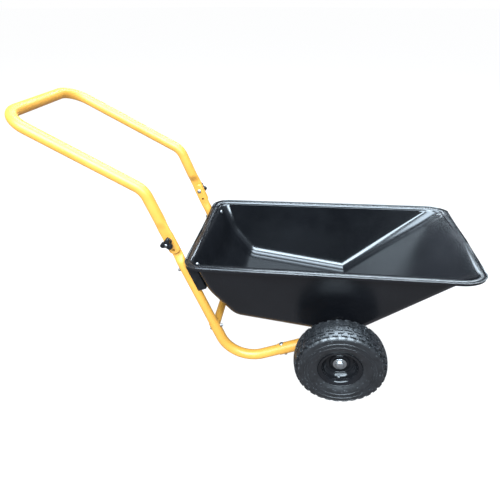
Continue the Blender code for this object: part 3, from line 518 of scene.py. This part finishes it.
axlePlate = {
    "eye": 0.0145,             # radius round the axle
    "rear": 0.075,             # rear end behind the axle
    "depth": 0.024,
    "thickness": 0.005,
    "middle": 0.2039,          # from the cart's middle plane
    "bore": 0.00665,
}


def makeAxlePlate(word, side):
    place = axle + across * side * axlePlate["middle"]
    bm = rodThrough(place, across, axlePlate["eye"], axlePlate["thickness"], 40)
    half = axlePlate["thickness"] / 2
    for edge in (-1, 1):
        for face in (-half, half):
            bm.verts.new(place + overArm * edge * axlePlate["depth"] / 2 - upArm * axlePlate["rear"]
                         + across * face)
    wrapCorners(bm)
    bmesh.ops.dissolve_limit(bm, angle_limit=radians(1), verts=bm.verts[:], edges=bm.edges[:])
    piece = standFor("axle_plate_" + word, bm, "paint")
    workShape(piece, cuts=[rodThrough(place, across, axlePlate["bore"], 0.02)])
    smoothOff(piece, sharp=42, edge=0.0006)


for word, side in sides:
    makeFrameTubes(word, side)
    makeAxlePlate(word, side)
makeBrace()

print("tub")

tub = {
    "frontRimHeight": 0.390,   # rim's top face at the nose
    "reach": 0.365,            # nose ahead of the axle
    "sideSpread": 0.024,       # tops of the side walls outside the floor's side edges
    "floorWidth": 0.398,
    "floorSlope": 6.7,
    "floorOverAxle": 0.00695,
    "lowEdge": 0.033,          # lowest edge ahead of the axle
    "rearBreak": 0.262,        # height where the rear wall starts to turn under
    "rearUnder": 49,
    "wall": 0.004,
    "lipWidth": 0.022,
    "lipDrop": 0.012,
    "lipCrown": 0.0005,        # how far the lip's top is domed
    "lipFlare": 0.0010,
    "rootBend": 0.0040,        # rounding under the lip at the wall and at the skirt
    "skirtBend": 0.0034,
    "bends": ((0.150, 12), (0.060, 10), (0.014, 6)),
    "cornerRadius": 0.030,
    "noseRadius": 0.035,
    "filletSteps": 10,
    "band": 0.022,             # ramp on the floor's side of the fillet
    "bandRise": (0.0008, 0.0024),   # its height on the rear wall and on the floor
    "step": 0.0009,            # small step where the fillet starts, and its width
    "stepWidth": 0.0011,
    "rimClear": 0.014,         # the ramp and the step fade out this near the rim
    "lugSpacing": 0.250, "lugWidth": 0.024, "lugLength": 0.032, "lugRadius": 0.01235,
}


# Where two lines in the side view meet
def crossing(point, way, other, otherWay):
    scale = way.x * otherWay.z - way.z * otherWay.x
    along = ((other.x - point.x) * otherWay.z - (other.z - point.z) * otherWay.x) / scale
    return point + way * along


# Corners of the tub's outside in the side view, from the rear rim round to the nose
def tubCorners():
    rearRoot = onSlant(cart["rootUp"], 0, cart["tubFace"])
    rearBreak = crossing(rearRoot, upSlant, up * tub["rearBreak"], level)
    slope, under = radians(tub["floorSlope"]), radians(tub["rearUnder"])
    floorPoint = axle + up * tub["floorOverAxle"] / cos(slope)
    floorWay = Vector((-cos(slope), 0, sin(slope)))
    knee = crossing(rearBreak, Vector((cos(under), 0, -sin(under))), floorPoint, floorWay)
    low = crossing(floorPoint, floorWay, axle + level * tub["lowEdge"], up)
    noseRoot = Vector((axle.x + tub["reach"] - tub["lipWidth"], 0, tub["frontRimHeight"] - tub["wall"]))
    return [rearRoot, rearBreak, knee, low, noseRoot]


# Stations of the side view: where the outside is after moving this far into the tub
def rimStation(root, slope, along):
    rate = 1 / slope.cross(along).length
    return lambda inside: root + along * inside * rate


def bendStations(before, corner, after, bend, count):
    incoming = (corner - before).normalized()
    turned = incoming.angle(after - corner)
    inward = Vector((-incoming.z, 0, incoming.x))
    centre = corner - incoming * bend * tan(turned / 2) + inward * bend
    middle = (centre - corner).normalized()

    def station(inwardHere):
        def shifted(inside):
            if inside < bend:
                return centre - inwardHere * (bend - inside)
            return corner + middle * inside / cos(turned / 2)
        return shifted

    return [station(Matrix.Rotation(-turned * step / count, 3, "Y") @ inward) for step in range(count + 1)]


def between(first, second, share):
    return lambda inside: first(inside).lerp(second(inside), share)


def tubStations(corners, rimWay):
    rise = tub["bandRise"]
    radius = tub["cornerRadius"]
    bent = []
    for k, (bend, count) in enumerate(tub["bends"]):
        for step, station in enumerate(bendStations(*corners[k:k + 3], bend, count)):
            share = step / count if k == 0 else 1.0
            bent.append((station, radius, rise[0] + (rise[1] - rise[0]) * share, tub["step"]))
    rear = rimStation(corners[0], upSlant, rimWay)
    noseSlope = (corners[-1] - corners[-2]).normalized()
    nose = rimStation(corners[-1], noseSlope, -rimWay)
    rearShare = tub["rimClear"] / (bent[0][0](0) - rear(0)).length
    noseShare = tub["rimClear"] * 1.5 / (bent[-1][0](0) - nose(0)).length
    nearNose = tub["noseRadius"] + (radius - tub["noseRadius"]) * noseShare
    return ([(rear, radius, 0.0, 0.0), (between(rear, bent[0][0], rearShare), radius, rise[0], tub["step"])]
            + bent
            + [(between(nose, bent[-1][0], noseShare), nearNose, rise[1], tub["step"]),
               (nose, tub["noseRadius"], 0.0, 0.0)])


def makeTub():
    corners = tubCorners()
    rimWay = (corners[-1] - corners[0]).normalized()
    stations = tubStations(corners, rimWay)
    lowest, top = corners[-2].z, corners[-1].z
    sideLean = tub["sideSpread"] / (top - lowest)
    steps = tub["filletSteps"]
    # Rows from the middle out: (in from the fillet's start, share of ramp, share of step, fillet angle)
    rows = [(tub["band"], 0, 0, 0), (tub["stepWidth"], 1, 0, 0), (0.0, 1, 1, 0)]
    rows += [(0.0, 1, 1, pi / 2 * step / steps) for step in range(1, steps + 1)]

    bm = bmesh.new()
    number = bm.verts.layers.int.new("station")
    filletTurn = bm.verts.layers.float.new("filletTurn")
    line = [bm.verts.new(station(0)) for station, *_ in stations]
    for index, vert in enumerate(line):
        vert[number] = index
    row = [bm.edges.new(pair) for pair in zip(line, line[1:])]
    for back, ramp, step, angle in rows:
        verts, row = extrudeRow(bm, row)
        for vert in verts:
            station, radius, rise, edgeStep = stations[vert[number]]
            inside = ramp * rise + step * edgeStep + radius * (1 - cos(angle))
            point = station(inside)
            half = tub["floorWidth"] / 2 + sideLean * (point.z - lowest)
            vert.co = (point.x, half - radius * (1 - sin(angle)) - back, point.z)
            vert[filletTurn] = angle
    ends = sorted(verts, key=lambda vert: vert[number])
    bmesh.ops.contextual_create(bm, geom=row + [bm.edges.new((ends[0], ends[-1]))])
    bmesh.ops.mirror(bm, geom=bm.verts[:] + bm.edges[:] + bm.faces[:], axis="Y", merge_dist=0.00001)

    # Rim: out, then down, from the open edge
    slope = rimWay.z / rimWay.x
    reach = tub["lipWidth"] - tub["wall"]
    moves = ((reach * 0.46, tub["lipCrown"]), (reach * 0.54, -tub["lipCrown"]),
             (tub["lipFlare"], tub["wall"] - tub["lipDrop"]))
    row = [edge for edge in bm.edges if edge.is_boundary]
    root, loops = row, []
    for out, rise in moves:
        verts, row = extrudeRow(bm, row)
        loops.append(row)
        for vert in verts:
            way = -1 if vert[number] == 0 else 1
            side = 1 if vert.co.y > 0 else -1
            lip = Vector((way * cos(vert[filletTurn]), side * sin(vert[filletTurn]),
                          way * cos(vert[filletTurn]) * slope))
            vert.co += lip * out + up * rise
    roundEdges(bm, root, tub["rootBend"])
    roundEdges(bm, loops[1], tub["skirtBend"])
    piece = standFor("tub", bm, "plastic")
    rearFace = min(piece.data.polygons, key=lambda face: (abs(face.center.y), face.center.x + face.center.z))
    if rearFace.normal.dot(Vector((-1, 0, -0.3))) < 0:
        piece.data.flip_normals()

    lugs, holes = [], []
    for side in (1, -1):
        place = axle + across * side * tub["lugSpacing"] / 2
        lug = rodThrough(place, across, tub["lugRadius"], tub["lugWidth"], 40)
        ceiling = tub["floorOverAxle"] + tub["wall"] / 2
        rise = tan(radians(tub["floorSlope"])) * tub["lugLength"] / 2
        for forward in (-1, 1):
            for face in (-1, 1):
                lug.verts.new(place + Vector((forward * tub["lugLength"] / 2, face * tub["lugWidth"] / 2,
                                              ceiling - forward * rise)))
        wrapCorners(lug)
        lugs.append(lug)
        holes.append(rodThrough(place, across, axlePlate["bore"], 0.04))
        holes.append(rodThrough(onSlant(cart["tubBoltUp"], side, cart["tubFace"]), toTub,
                                pressed["boltHole"], 0.02))
    workShape(piece, wall=tub["wall"], joins=lugs, cuts=holes, even=False)
    smoothOff(piece, sharp=44, edge=0.0007)


makeTub()

print("wheels")

# The tread repeats at each pitch. Rings count from the crown outwards, columns round the tyre in a pitch.
wheel = {
    "track": 0.594,
    "pitches": 32, "columns": 8,
    "treadDepth": 0.0042,
    "taper": 0.0005,           # how much a tread block narrows towards its top
    "zigzag": 0.0013,
    "notchDepth": 0.0030,
    "tickHeight": 0.0008, "tickEdge": 0.0003,
    "blocks": {1: range(1, 8), 2: (1, 2, 3, 5, 6, 7), 3: range(1, 8),      # columns raised in each ring
               5: range(1, 8), 6: (0, 5, 6, 7), 7: (0, 1, 2, 5, 6, 7)},
    "notches": {9: (5, 6, 7)},
    "ticks": {11: 0, 19: 0, 21: 1},     # fine marks in even (0) or odd (1) columns, outer side only
    "outerFrom": 5,            # first ring with the shoulder's columns
    "zigzagTo": 6,             # rings before this one swing to and fro
    "lastMoved": 9, "lastShare": 0.8,   # last ring whose columns move, and how far they do
}
# Tyre's skin under the tread blocks, crown to bead, as (radius, way out); then the cavity
skin = [(0.12575, 0.0), (0.12575, 0.0014), (0.1256, 0.0055), (0.1251, 0.0112), (0.1244, 0.016),
        (0.124, 0.0184), (0.1229, 0.0244), (0.12215, 0.027), (0.12, 0.0322), (0.1198, 0.0346),
        (0.1174, 0.0378), (0.1136, 0.04), (0.1122, 0.0404), (0.109, 0.0411), (0.1045, 0.0416),
        (0.1015, 0.0417), (0.1011, 0.0421), (0.1005, 0.0421), (0.1001, 0.0417), (0.0985, 0.0416),
        (0.0966, 0.0415), (0.0915, 0.0413), (0.0896, 0.0412), (0.088, 0.0411), (0.0876, 0.0414),
        (0.087, 0.0414), (0.0866, 0.0408), (0.082, 0.0399), (0.077, 0.0384), (0.072, 0.0363),
        (0.068, 0.0342), (0.065, 0.0324), (0.0632, 0.0318), (0.0618, 0.03), (0.056, 0.0284),
        (0.0525, 0.0271), (0.0516, 0.0255)]
cavity = [(0.0516, 0.019), (0.0526, 0.0181), (0.0618, 0.0224), (0.078, 0.033), (0.0939, 0.0378),
          (0.109, 0.0345), (0.117, 0.029), (0.1205, 0.0215), (0.1212, 0.01)]
innerShares = (0.0, 0.22, 0.339, 0.458, 0.577, 0.643, 0.762, 0.881)      # column starts in a pitch
outerShares = (0.077, 0.143, 0.262, 0.381, 0.50, 0.72, 0.839, 0.958)


def makeTyre(word, side):
    bm = bmesh.new()
    ringLayer = bm.verts.layers.int.new("ring")
    last = len(skin) - 1
    outline = [(radius, out, min(ring, last + 1)) for ring, (radius, out) in enumerate(skin + cavity)]
    outline += [(radius, -out, ring if ring > last else -ring) for radius, out, ring in outline[:0:-1]]
    line = []
    for radius, out, ring in outline:
        line.append(bm.verts.new((radius, 0.0, out)))
        line[-1][ringLayer] = ring
    for near, far in zip(line, line[1:] + line[:1]):
        bm.edges.new((near, far))
    columns = wheel["columns"]
    steps = columns * wheel["pitches"]
    spinRound(bm, steps)

    step = 2 * pi / steps
    blocks, notches, ticks = [], [], []
    for face in bm.faces:
        centre = face.calc_center_median()
        column = floor(atan2(centre.y, centre.x) / step)
        if centre.z < 0:       # the inner half runs half a pitch ahead
            column += columns // 2
        column %= columns
        rings = sorted({abs(vert[ringLayer]) for vert in face.verts})
        if len(rings) != 2 or rings[1] > last:
            continue
        ring = rings[0]
        if column in wheel["blocks"].get(ring, ()):
            blocks.append(face)
        elif column in wheel["notches"].get(ring, ()):
            notches.append(face)
        elif centre.z > 0 and wheel["ticks"].get(ring) == column % 2:
            ticks.append(face)
    for vert in bm.verts:
        ring = abs(vert[ringLayer])
        if ring > wheel["lastMoved"]:
            continue
        index = round(atan2(vert.co.y, vert.co.x) / step)
        if vert[ringLayer] < 0:
            index += columns // 2
        index %= columns
        shares = innerShares if ring < wheel["outerFrom"] else outerShares
        moved = shares[index] - index / columns
        if ring == wheel["lastMoved"]:
            moved *= wheel["lastShare"]
        vert.co = Matrix.Rotation(step * columns * moved, 3, "Z") @ vert.co
        if ring < wheel["zigzagTo"]:
            swing = sin(2 * pi * index / columns) * (1 if vert[ringLayer] >= 0 else -1)
            vert.co.z += swing * wheel["zigzag"]
    bmesh.ops.recalc_face_normals(bm, faces=bm.faces)
    for faces, depth in ((blocks, wheel["treadDepth"]), (notches, -wheel["notchDepth"])):
        bmesh.ops.inset_region(bm, faces=faces, thickness=wheel["taper"], depth=depth,
                               use_boundary=True, use_even_offset=True)
    bmesh.ops.inset_individual(bm, faces=ticks, thickness=wheel["tickEdge"], depth=wheel["tickHeight"],
                               use_even_offset=True)
    outward = across * side
    centre = axle + outward * wheel["track"] / 2
    bmesh.ops.transform(bm, matrix=placeAt(centre, outward), verts=bm.verts)
    smoothOff(standFor("tyre_" + word, bm, "rubber"), sharp=30)


rim = {
    "well": 0.0502, "sheet": 0.002, "ramp": 0.003,
    "lipFoot": 0.0285, "lipRadius": 0.0608, "lipEnd": 0.0325, "lipCurl": (0.0016, 0.0006),
    "boss": 0.0255, "bossHeight": 0.0055,
    "step": 0.0383, "stepHeight": 0.0075, "stepFlat": 0.0042, "cone": 0.0048,
    "hubRadius": 0.0165, "hubInside": 0.013, "hubInner": 0.040, "hubOuter": 0.0075, "bore": 0.00665,
    "bushIn": 0.014, "bushFlange": 0.0018,
}


# A pressed sheet: an open line turned about the axis and given the sheet's thickness
def pressedSheet(node, line, matrix, cuts=()):
    piece = standFor(node, turn(line, matrix, 96, isOpen=True), "gloss")
    workShape(piece, wall=rim["sheet"], cuts=cuts, offset=0)
    smoothOff(piece, sharp=50, edge=0.0005)


valve = {
    "radius": 0.004, "thread": 0.0025, "length": 0.024, "thick": 0.0132, "neck": 0.0036,
    "slant": 35, "foot": 0.003, "seat": 0.011, "capLength": 0.009, "capOver": 0.0054,
}


def makeWheel(word, side):
    outward = across * side
    centre = axle + outward * wheel["track"] / 2
    facing = placeAt(centre, outward)
    edge = rim["hubRadius"] + gap
    contact = (rim["sheet"] + gap) / 2
    curlOut, curlUp = rim["lipCurl"]
    lip = [(rim["well"], rim["lipFoot"], 0.004), (rim["lipRadius"] - curlOut, rim["lipEnd"] - curlUp, 0.0012),
           (rim["lipRadius"], rim["lipEnd"])]
    well, step, high = rim["well"] - rim["ramp"], rim["step"], rim["stepHeight"]
    front = [(edge, rim["bossHeight"]), (rim["boss"], rim["bossHeight"], 0.0016),
             (rim["boss"] + rim["ramp"], contact, 0.0016), (step, contact, 0.002),
             (step + rim["ramp"], high, 0.002), (step + rim["stepFlat"], high, 0.001),
             (well, high + rim["cone"], 0.0024)]
    stemWay = up * cos(radians(valve["slant"])) + outward * sin(radians(valve["slant"]))
    foot = centre - up * (rim["well"] + valve["foot"]) + outward * valve["seat"]
    hole = rodThrough(foot + stemWay * valve["foot"], stemWay, valve["radius"] + gap, 0.024)
    pressedSheet("rim_outer_half_" + word, front + lip, facing, [hole])
    pressedSheet("rim_inner_half_" + word, [(edge, contact), (well, contact, 0.0028)] + lip,
                 placeAt(centre, -outward))

    hub, inside, inner, outer = rim["hubRadius"], rim["hubInside"], rim["hubInner"], rim["hubOuter"]
    turnedPiece("hub_" + word, "gloss", [(hub, -inner, 0.0006), (hub, outer, 0.0006), (inside, outer, 0.0003),
                                         (inside, -inner, 0.0003)], centre, outward, 64)
    bore, deep, flange = rim["bore"], rim["bushIn"], rim["bushFlange"]
    bush = [(bore, -deep, 0.0004), (inside - gap, -deep, 0.0008), (inside - gap, gap), (hub, gap, 0.0003),
            (hub, flange, 0.0005), (bore, flange, 0.0003)]
    for place, end, way in (("outer", outer, outward), ("inner", inner, -outward)):
        turnedPiece("hub_bush_" + place + "_" + word, "nylon", bush, centre + way * end, way, 64)

    radius, thread = valve["radius"], valve["thread"]
    stem = [(0, 0), (radius, 0, 0.0006), (radius, valve["thick"], 0.0008),
            (thread, valve["thick"] + valve["neck"], 0.0005), (thread, valve["length"], 0.0004),
            (0, valve["length"])]
    turnedPiece("valve_stem_" + word, "stemRubber", stem, foot, stemWay, 32)
    bore, pocket, top = thread + gap, valve["capOver"] + gap, valve["capLength"]
    cap = [(0, top), (radius, top, 0.001), (radius, 0, 0.0004), (bore, 0), (bore, pocket), (0, pocket)]
    turnedPiece("valve_cap_" + word, "capPlastic", cap,
                foot + stemWay * (valve["length"] - valve["capOver"]), stemWay, 32)
    makeTyre(word, side)


for word, side in sides:
    makeWheel(word, side)
    for slot in frame["nodes"]["inner_tube_" + word].material_slots:
        slot.material = looks["butyl"]

print("axle and fasteners")

fasteners = {
    "axleRadius": 0.00635, "axleEnd": 0.3138,
    "washerAt": 0.3066, "washerRadius": 0.019, "washer": 0.0016,
    "capAt": 0.3085, "capRadius": 0.0125, "capHeight": 0.0075, "capPocket": 0.0056, "capEdge": 0.0022,
    "spacerFrom": 0.2067, "spacerTo": 0.2549, "spacerRadius": 0.0105,
    "bolt": 0.003, "boltHead": 0.007, "boltHeadHeight": 0.0038, "boltProud": 0.003,
    "nutAcross": 0.010, "nutHeight": 0.005,
    "hingeBolt": 0.004, "hingeHead": 0.007, "hingeWasher": 0.010,
    "thread": 0.0010,          # pitch of the ridges
    "ridged": 0.009, "hingeRidged": 0.004,    # lengths with ridges
}


def makeAxle():
    radius, end = fasteners["axleRadius"], fasteners["axleEnd"]
    rod = [(0, -end), (radius, -end, 0.0008), (radius, end, 0.0008), (0, end)]
    turnedPiece("axle", "zinc", rod, axle, across)
    bore = rim["bore"]
    for word, side in sides:
        way = across * side
        outer, length = fasteners["spacerRadius"], fasteners["spacerTo"] - fasteners["spacerFrom"]
        spacer = [(bore, 0), (outer, 0, 0.0004), (outer, length, 0.0004), (bore, length)]
        turnedPiece("axle_spacer_" + word, "zinc", spacer, axle + way * fasteners["spacerFrom"], way)
        outer, thick = fasteners["washerRadius"], fasteners["washer"]
        washer = [(bore, 0), (outer, 0, 0.0004), (outer, thick, 0.0006), (bore, thick)]
        turnedPiece("axle_washer_" + word, "zinc", washer, axle + way * fasteners["washerAt"], way, 64)
        radius, height, pocket = fasteners["capRadius"], fasteners["capHeight"], fasteners["capPocket"]
        edge = fasteners["capEdge"]
        dome = [(radius * sin(angle), edge + (height - edge) * cos(angle))
                for angle in [pi / 2 * step / 10 for step in range(9, 0, -1)]]
        cap = [(0, pocket), (bore, pocket), (bore, 0), (radius, 0, 0.0003), (radius, 0.0014, 0.0006), *dome,
               (0, height)]
        turnedPiece("axle_cap_" + word, "zinc", cap, axle + way * fasteners["capAt"], way, 64)


# Round-headed bolt with its seat at the origin and its head upwards; ridges on the end of its thread
def boltProfile(radius, head, length, ridged):
    pitch, height = fasteners["thread"], fasteners["boltHeadHeight"]
    dome = [(head * sin(angle), height * (0.22 + 0.78 * cos(angle)))
            for angle in [pi / 2 * step / 8 for step in range(8, 0, -1)]]
    ridges = []
    for k in range(int(ridged / pitch)):
        low = -length + 0.0006 + k * pitch
        ridges += [(radius * 0.90, low), (radius, low + pitch / 2)]
    return [(0, -length), (radius * 0.80, -length), *ridges, (radius, 0), (head, 0, 0.0003), *dome, (0, height)]


# Hexagon nut that stands on its seat, with the corners turned off at both faces
def makeNut(node, seat, along, acrossFlats, height, hole):
    matrix = placeAt(seat, along)
    corner = acrossFlats / 2 / cos(pi / 6)
    bm = bmesh.new()
    bmesh.ops.create_cone(bm, cap_ends=True, segments=6, radius1=corner, radius2=corner, depth=height,
                          matrix=matrix @ Matrix.Translation((0, 0, height / 2)))
    flat = acrossFlats / 2 * 0.97
    chamfer = (corner - flat) * tan(radians(28))
    outside, low, high = corner + 0.0004, -0.0001, height + 0.0001
    chamfered = turn([(hole, low), (flat, low), (outside, chamfer), (outside, height - chamfer), (flat, high),
                      (hole, high)], matrix, 48)
    piece = standFor(node, bm, "zinc")
    workShape(piece, within=[chamfered])
    smoothOff(piece, sharp=25)


def fasten(joint, word, middle, along, headAt, nutAt):
    length = headAt - nutAt + fasteners["nutHeight"] + fasteners["boltProud"]
    profile = boltProfile(fasteners["bolt"], fasteners["boltHead"], length, fasteners["ridged"])
    turnedPiece(joint + "_bolt_" + word, "zinc", profile, middle + along * headAt, along, 32, 60)
    makeNut(joint + "_nut_" + word, middle + along * nutAt, -along, fasteners["nutAcross"],
            fasteners["nutHeight"], pressed["boltHole"])


makeAxle()
for word, side in sides:
    reach = cart["footRadius"] + gap
    fasten("foot", word, onSlant(cart["footBoltUp"], side), -toTub, reach, -reach)
    reach = cart["armRadius"] + gap
    fasten("arm", word, onArm(cart["armBoltBack"], side), overArm, reach, -reach)
    fasten("tub", word, onSlant(cart["tubBoltUp"], side), toTub, cart["tubFace"] + tub["wall"] + gap,
           -cart["upperRadius"] - gap)

print("hinges and knobs")

knob = {
    "turn": -43,               # lobes from forward, degrees, seen from outside on the right
    "hub": 0.010, "step": 0.008, "lobes": 0.016, "reach": 0.019, "swing": 0.28,
    "edge": 0.0024, "bore": 0.0043, "boltProud": 0.002,
    "nutAcross": 0.013, "nutHeight": 0.0055,
    "washerSeat": 0.19295, "seat": 0.19485, "headSeat": 0.17405,
}


def makeKnob(word, side):
    hinge, outward = onSlant(cart["hingeUp"]), across * side
    matrix = placeAt(hinge + outward * knob["seat"], outward) @ Matrix.Rotation(radians(knob["turn"]), 4, "Z")
    top, edge = knob["step"] + knob["lobes"], knob["edge"]
    pocket = knob["nutAcross"] / 2 / cos(pi / 6) + gap * 2
    pocketTop = knob["nutHeight"] + gap
    rings = [(knob["hub"] - 0.0006, 0.0, 0), (knob["hub"], 0.0006, 0), (knob["hub"], knob["step"] - 0.0014, 0),
             (knob["hub"] + 0.0006, knob["step"] - 0.0004, 0.05)]
    quarter = [pi / 2 * step / 4 for step in range(5)]
    rings += [(knob["reach"] - edge * (1 - sin(angle)), knob["step"] + edge * (1 - cos(angle)), knob["swing"])
              for angle in quarter]
    rings += [(knob["reach"] - edge * (1 - cos(angle)), top - edge * (1 - sin(angle)), knob["swing"])
              for angle in quarter]
    rings += [(knob["hub"] * 0.80, top + 0.0001, 0), (knob["hub"] * 0.72, top + 0.0004, 0),
              (knob["bore"], top + 0.0004, 0), (knob["bore"], pocketTop, 0), (pocket, pocketTop, 0),
              (pocket, 0.0, 0), (knob["hub"] - 0.0006, 0.0, 0)]
    bm = bmesh.new()
    bmesh.ops.create_circle(bm, segments=72, radius=1.0)
    row = bm.edges[:]
    verts = bm.verts[:]
    for index, (radius, height, swing) in enumerate(rings):
        if index:
            verts, row = extrudeRow(bm, row)
        for vert in verts:
            angle = atan2(vert.co.y, vert.co.x)
            reach = radius * (1 - swing + swing * cos(3 * angle))
            vert.co = (reach * cos(angle), reach * sin(angle), height)
    bmesh.ops.transform(bm, matrix=matrix, verts=bm.verts)
    smoothOff(standFor("knob_" + word, bm, "knob", merge=0.00002), sharp=45)

    makeNut("knob_nut_" + word, hinge + outward * knob["seat"], outward, knob["nutAcross"], knob["nutHeight"],
            knob["bore"])
    length = knob["seat"] + top + knob["boltProud"] - knob["headSeat"]
    profile = boltProfile(fasteners["hingeBolt"], fasteners["hingeHead"], length, fasteners["hingeRidged"])
    turnedPiece("hinge_bolt_" + word, "zinc", profile, hinge + outward * knob["headSeat"], -outward, 40, 60)
    bore, outer, thick = knob["bore"], fasteners["hingeWasher"], fasteners["washer"]
    washer = [(bore, 0), (outer, 0, 0.0003), (outer, thick, 0.0005), (bore, thick)]
    turnedPiece("hinge_washer_" + word, "zinc", washer, hinge + outward * knob["washerSeat"], outward)


spacerBlock = {"width": 0.026, "length": 0.089, "overBolt": 0.010, "wing": 0.0042, "edge": 0.0012}


def makeSpacerBlock(word, side):
    start, end = cart["upperRadius"] - spacerBlock["wing"], cart["tubFace"] - gap
    middle = onSlant(cart["tubBoltUp"] + spacerBlock["overBolt"] - spacerBlock["length"] / 2, side)
    facing = Matrix.Translation(middle) @ Matrix((-across, toTub, upSlant)).transposed().to_4x4()
    bm = bmesh.new()
    bmesh.ops.create_cube(bm, size=1.0, matrix=facing @ Matrix.Translation((0, (start + end) / 2, 0))
                          @ Matrix.Diagonal((spacerBlock["width"], end - start, spacerBlock["length"], 1.0)))
    roundEdges(bm, bm.edges[:], spacerBlock["edge"])
    piece = standFor("spacer_block_" + word, bm, "block")
    workShape(piece, cuts=[rodThrough(middle, upSlant, cart["upperRadius"] + gap, 0.2, 48),
                           rodThrough(onSlant(cart["tubBoltUp"], side), toTub, pressed["boltHole"], 0.12)])
    smoothOff(piece, sharp=35, edge=0.0003)


for word, side in sides:
    makeKnob(word, side)
    makeSpacerBlock(word, side)

print("stage, light and camera")

studio = {
    "floor": (0.08, 0.08, 0.08), "floorRoughness": 0.8, "floorGlow": 0.96, "floorSize": 400.0,
    "backdrop": 60.0,
    "sky": ((0.0, (0.27, 0.27, 0.29)), (0.20, (0.13, 0.15, 0.18)),     # colours by height
            (0.85, (0.34, 0.40, 0.48))),
    "boxes": {    # place, target, size, power, colour
        "key": ((-0.2, -2.7, 2.9), (0.2, 0.0, 0.25), (4.4, 2.2), 740, (0.73, 0.88, 1.0)),
        "overhead": ((0.3, 0.4, 3.2), (0.2, 0.0, 0.25), (3.2, 1.8), 260, (0.72, 0.87, 1.0)),
        "backStrip": ((0.95, 4.0, 3.6), (0.2, 0.0, 0.35), (3.5, 0.5), 150, (0.78, 0.90, 1.0)),
    },
}


# Piece of the studio, white by its own glow, that the gloss doesn't mirror
def stagePiece(name, bm, colour, glow):
    piece = addShape(name, bm)
    paper = bpy.data.materials.new(name + "Paper")
    paper.use_nodes = True
    shader = paper.node_tree.nodes["Principled BSDF"]
    shader.inputs["Base Color"].default_value = (*colour, 1.0)
    shader.inputs["Roughness"].default_value = studio["floorRoughness"]
    shader.inputs["Specular IOR Level"].default_value = 0.0
    shader.inputs["Emission Color"].default_value = (1.0, 1.0, 1.0, 1.0)
    shader.inputs["Emission Strength"].default_value = glow
    piece.data.materials.append(paper)
    piece.visible_glossy = False
    return piece


# The floor, and a white room round it that only the camera sees
def makeStage():
    bm = bmesh.new()
    bmesh.ops.create_grid(bm, x_segments=2, y_segments=2, size=studio["floorSize"])
    stagePiece("studioFloor", bm, studio["floor"], studio["floorGlow"])
    bm = bmesh.new()
    bmesh.ops.create_uvsphere(bm, u_segments=32, v_segments=16, radius=studio["backdrop"])
    backdrop = stagePiece("studioBackdrop", bm, (0.0, 0.0, 0.0), 1.0)
    backdrop.visible_diffuse = backdrop.visible_shadow = backdrop.visible_transmission = False


# What the gloss mirrors: grey ground, a darker band over the horizon and a soft sky above
def makeSky():
    world = bpy.data.worlds.new("studioWorld")
    world.use_nodes = True
    nodes, links = world.node_tree.nodes, world.node_tree.links
    sky = nodes["Background"]
    way = nodes.new("ShaderNodeTexCoord")
    parts = nodes.new("ShaderNodeSeparateXYZ")
    links.new(way.outputs["Generated"], parts.inputs["Vector"])
    ramp = nodes.new("ShaderNodeValToRGB")
    ramp.color_ramp.interpolation = "EASE"
    ramp.color_ramp.elements.new(0.5)
    for stop, (height, colour) in zip(ramp.color_ramp.elements, studio["sky"]):
        stop.position = height
        stop.color = (*colour, 1.0)
    links.new(parts.outputs["Z"], ramp.inputs["Fac"])
    links.new(ramp.outputs["Color"], sky.inputs["Color"])
    bpy.context.scene.world = world


def softBox(name, place, target, size, power, colour):
    lamp = bpy.data.lights.new(name, "AREA")
    lamp.shape = "RECTANGLE"
    lamp.size, lamp.size_y = size
    lamp.energy = power
    lamp.color = colour
    holder = addObject(name, lamp)
    holder.matrix_world = (Matrix.Translation(place)
                           @ (Vector(target) - Vector(place)).to_track_quat("-Z", "Y").to_matrix().to_4x4())
    holder.visible_camera = False


view = {
    "place": (0.1566, -1.2269, 1.0188),
    "down": 0.5258, "aside": 0.1353,      # turned down from level and to the left, radians
    "lens": 31.29, "sensor": 36.0, "near": 0.05,
}


def makeCamera():
    lens = bpy.data.cameras.new("camera")
    lens.lens = view["lens"]
    lens.sensor_width = view["sensor"]
    lens.clip_start = view["near"]
    camera = addObject("camera", lens)
    camera.location = view["place"]
    camera.rotation_euler = (pi / 2 - view["down"], 0.0, view["aside"])
    bpy.context.scene.camera = camera


makeStage()
makeSky()
for name, (place, target, size, power, colour) in studio["boxes"].items():
    softBox(name, place, target, size, power, colour)
bpy.context.scene.view_settings.view_transform = "Standard"
makeCamera()
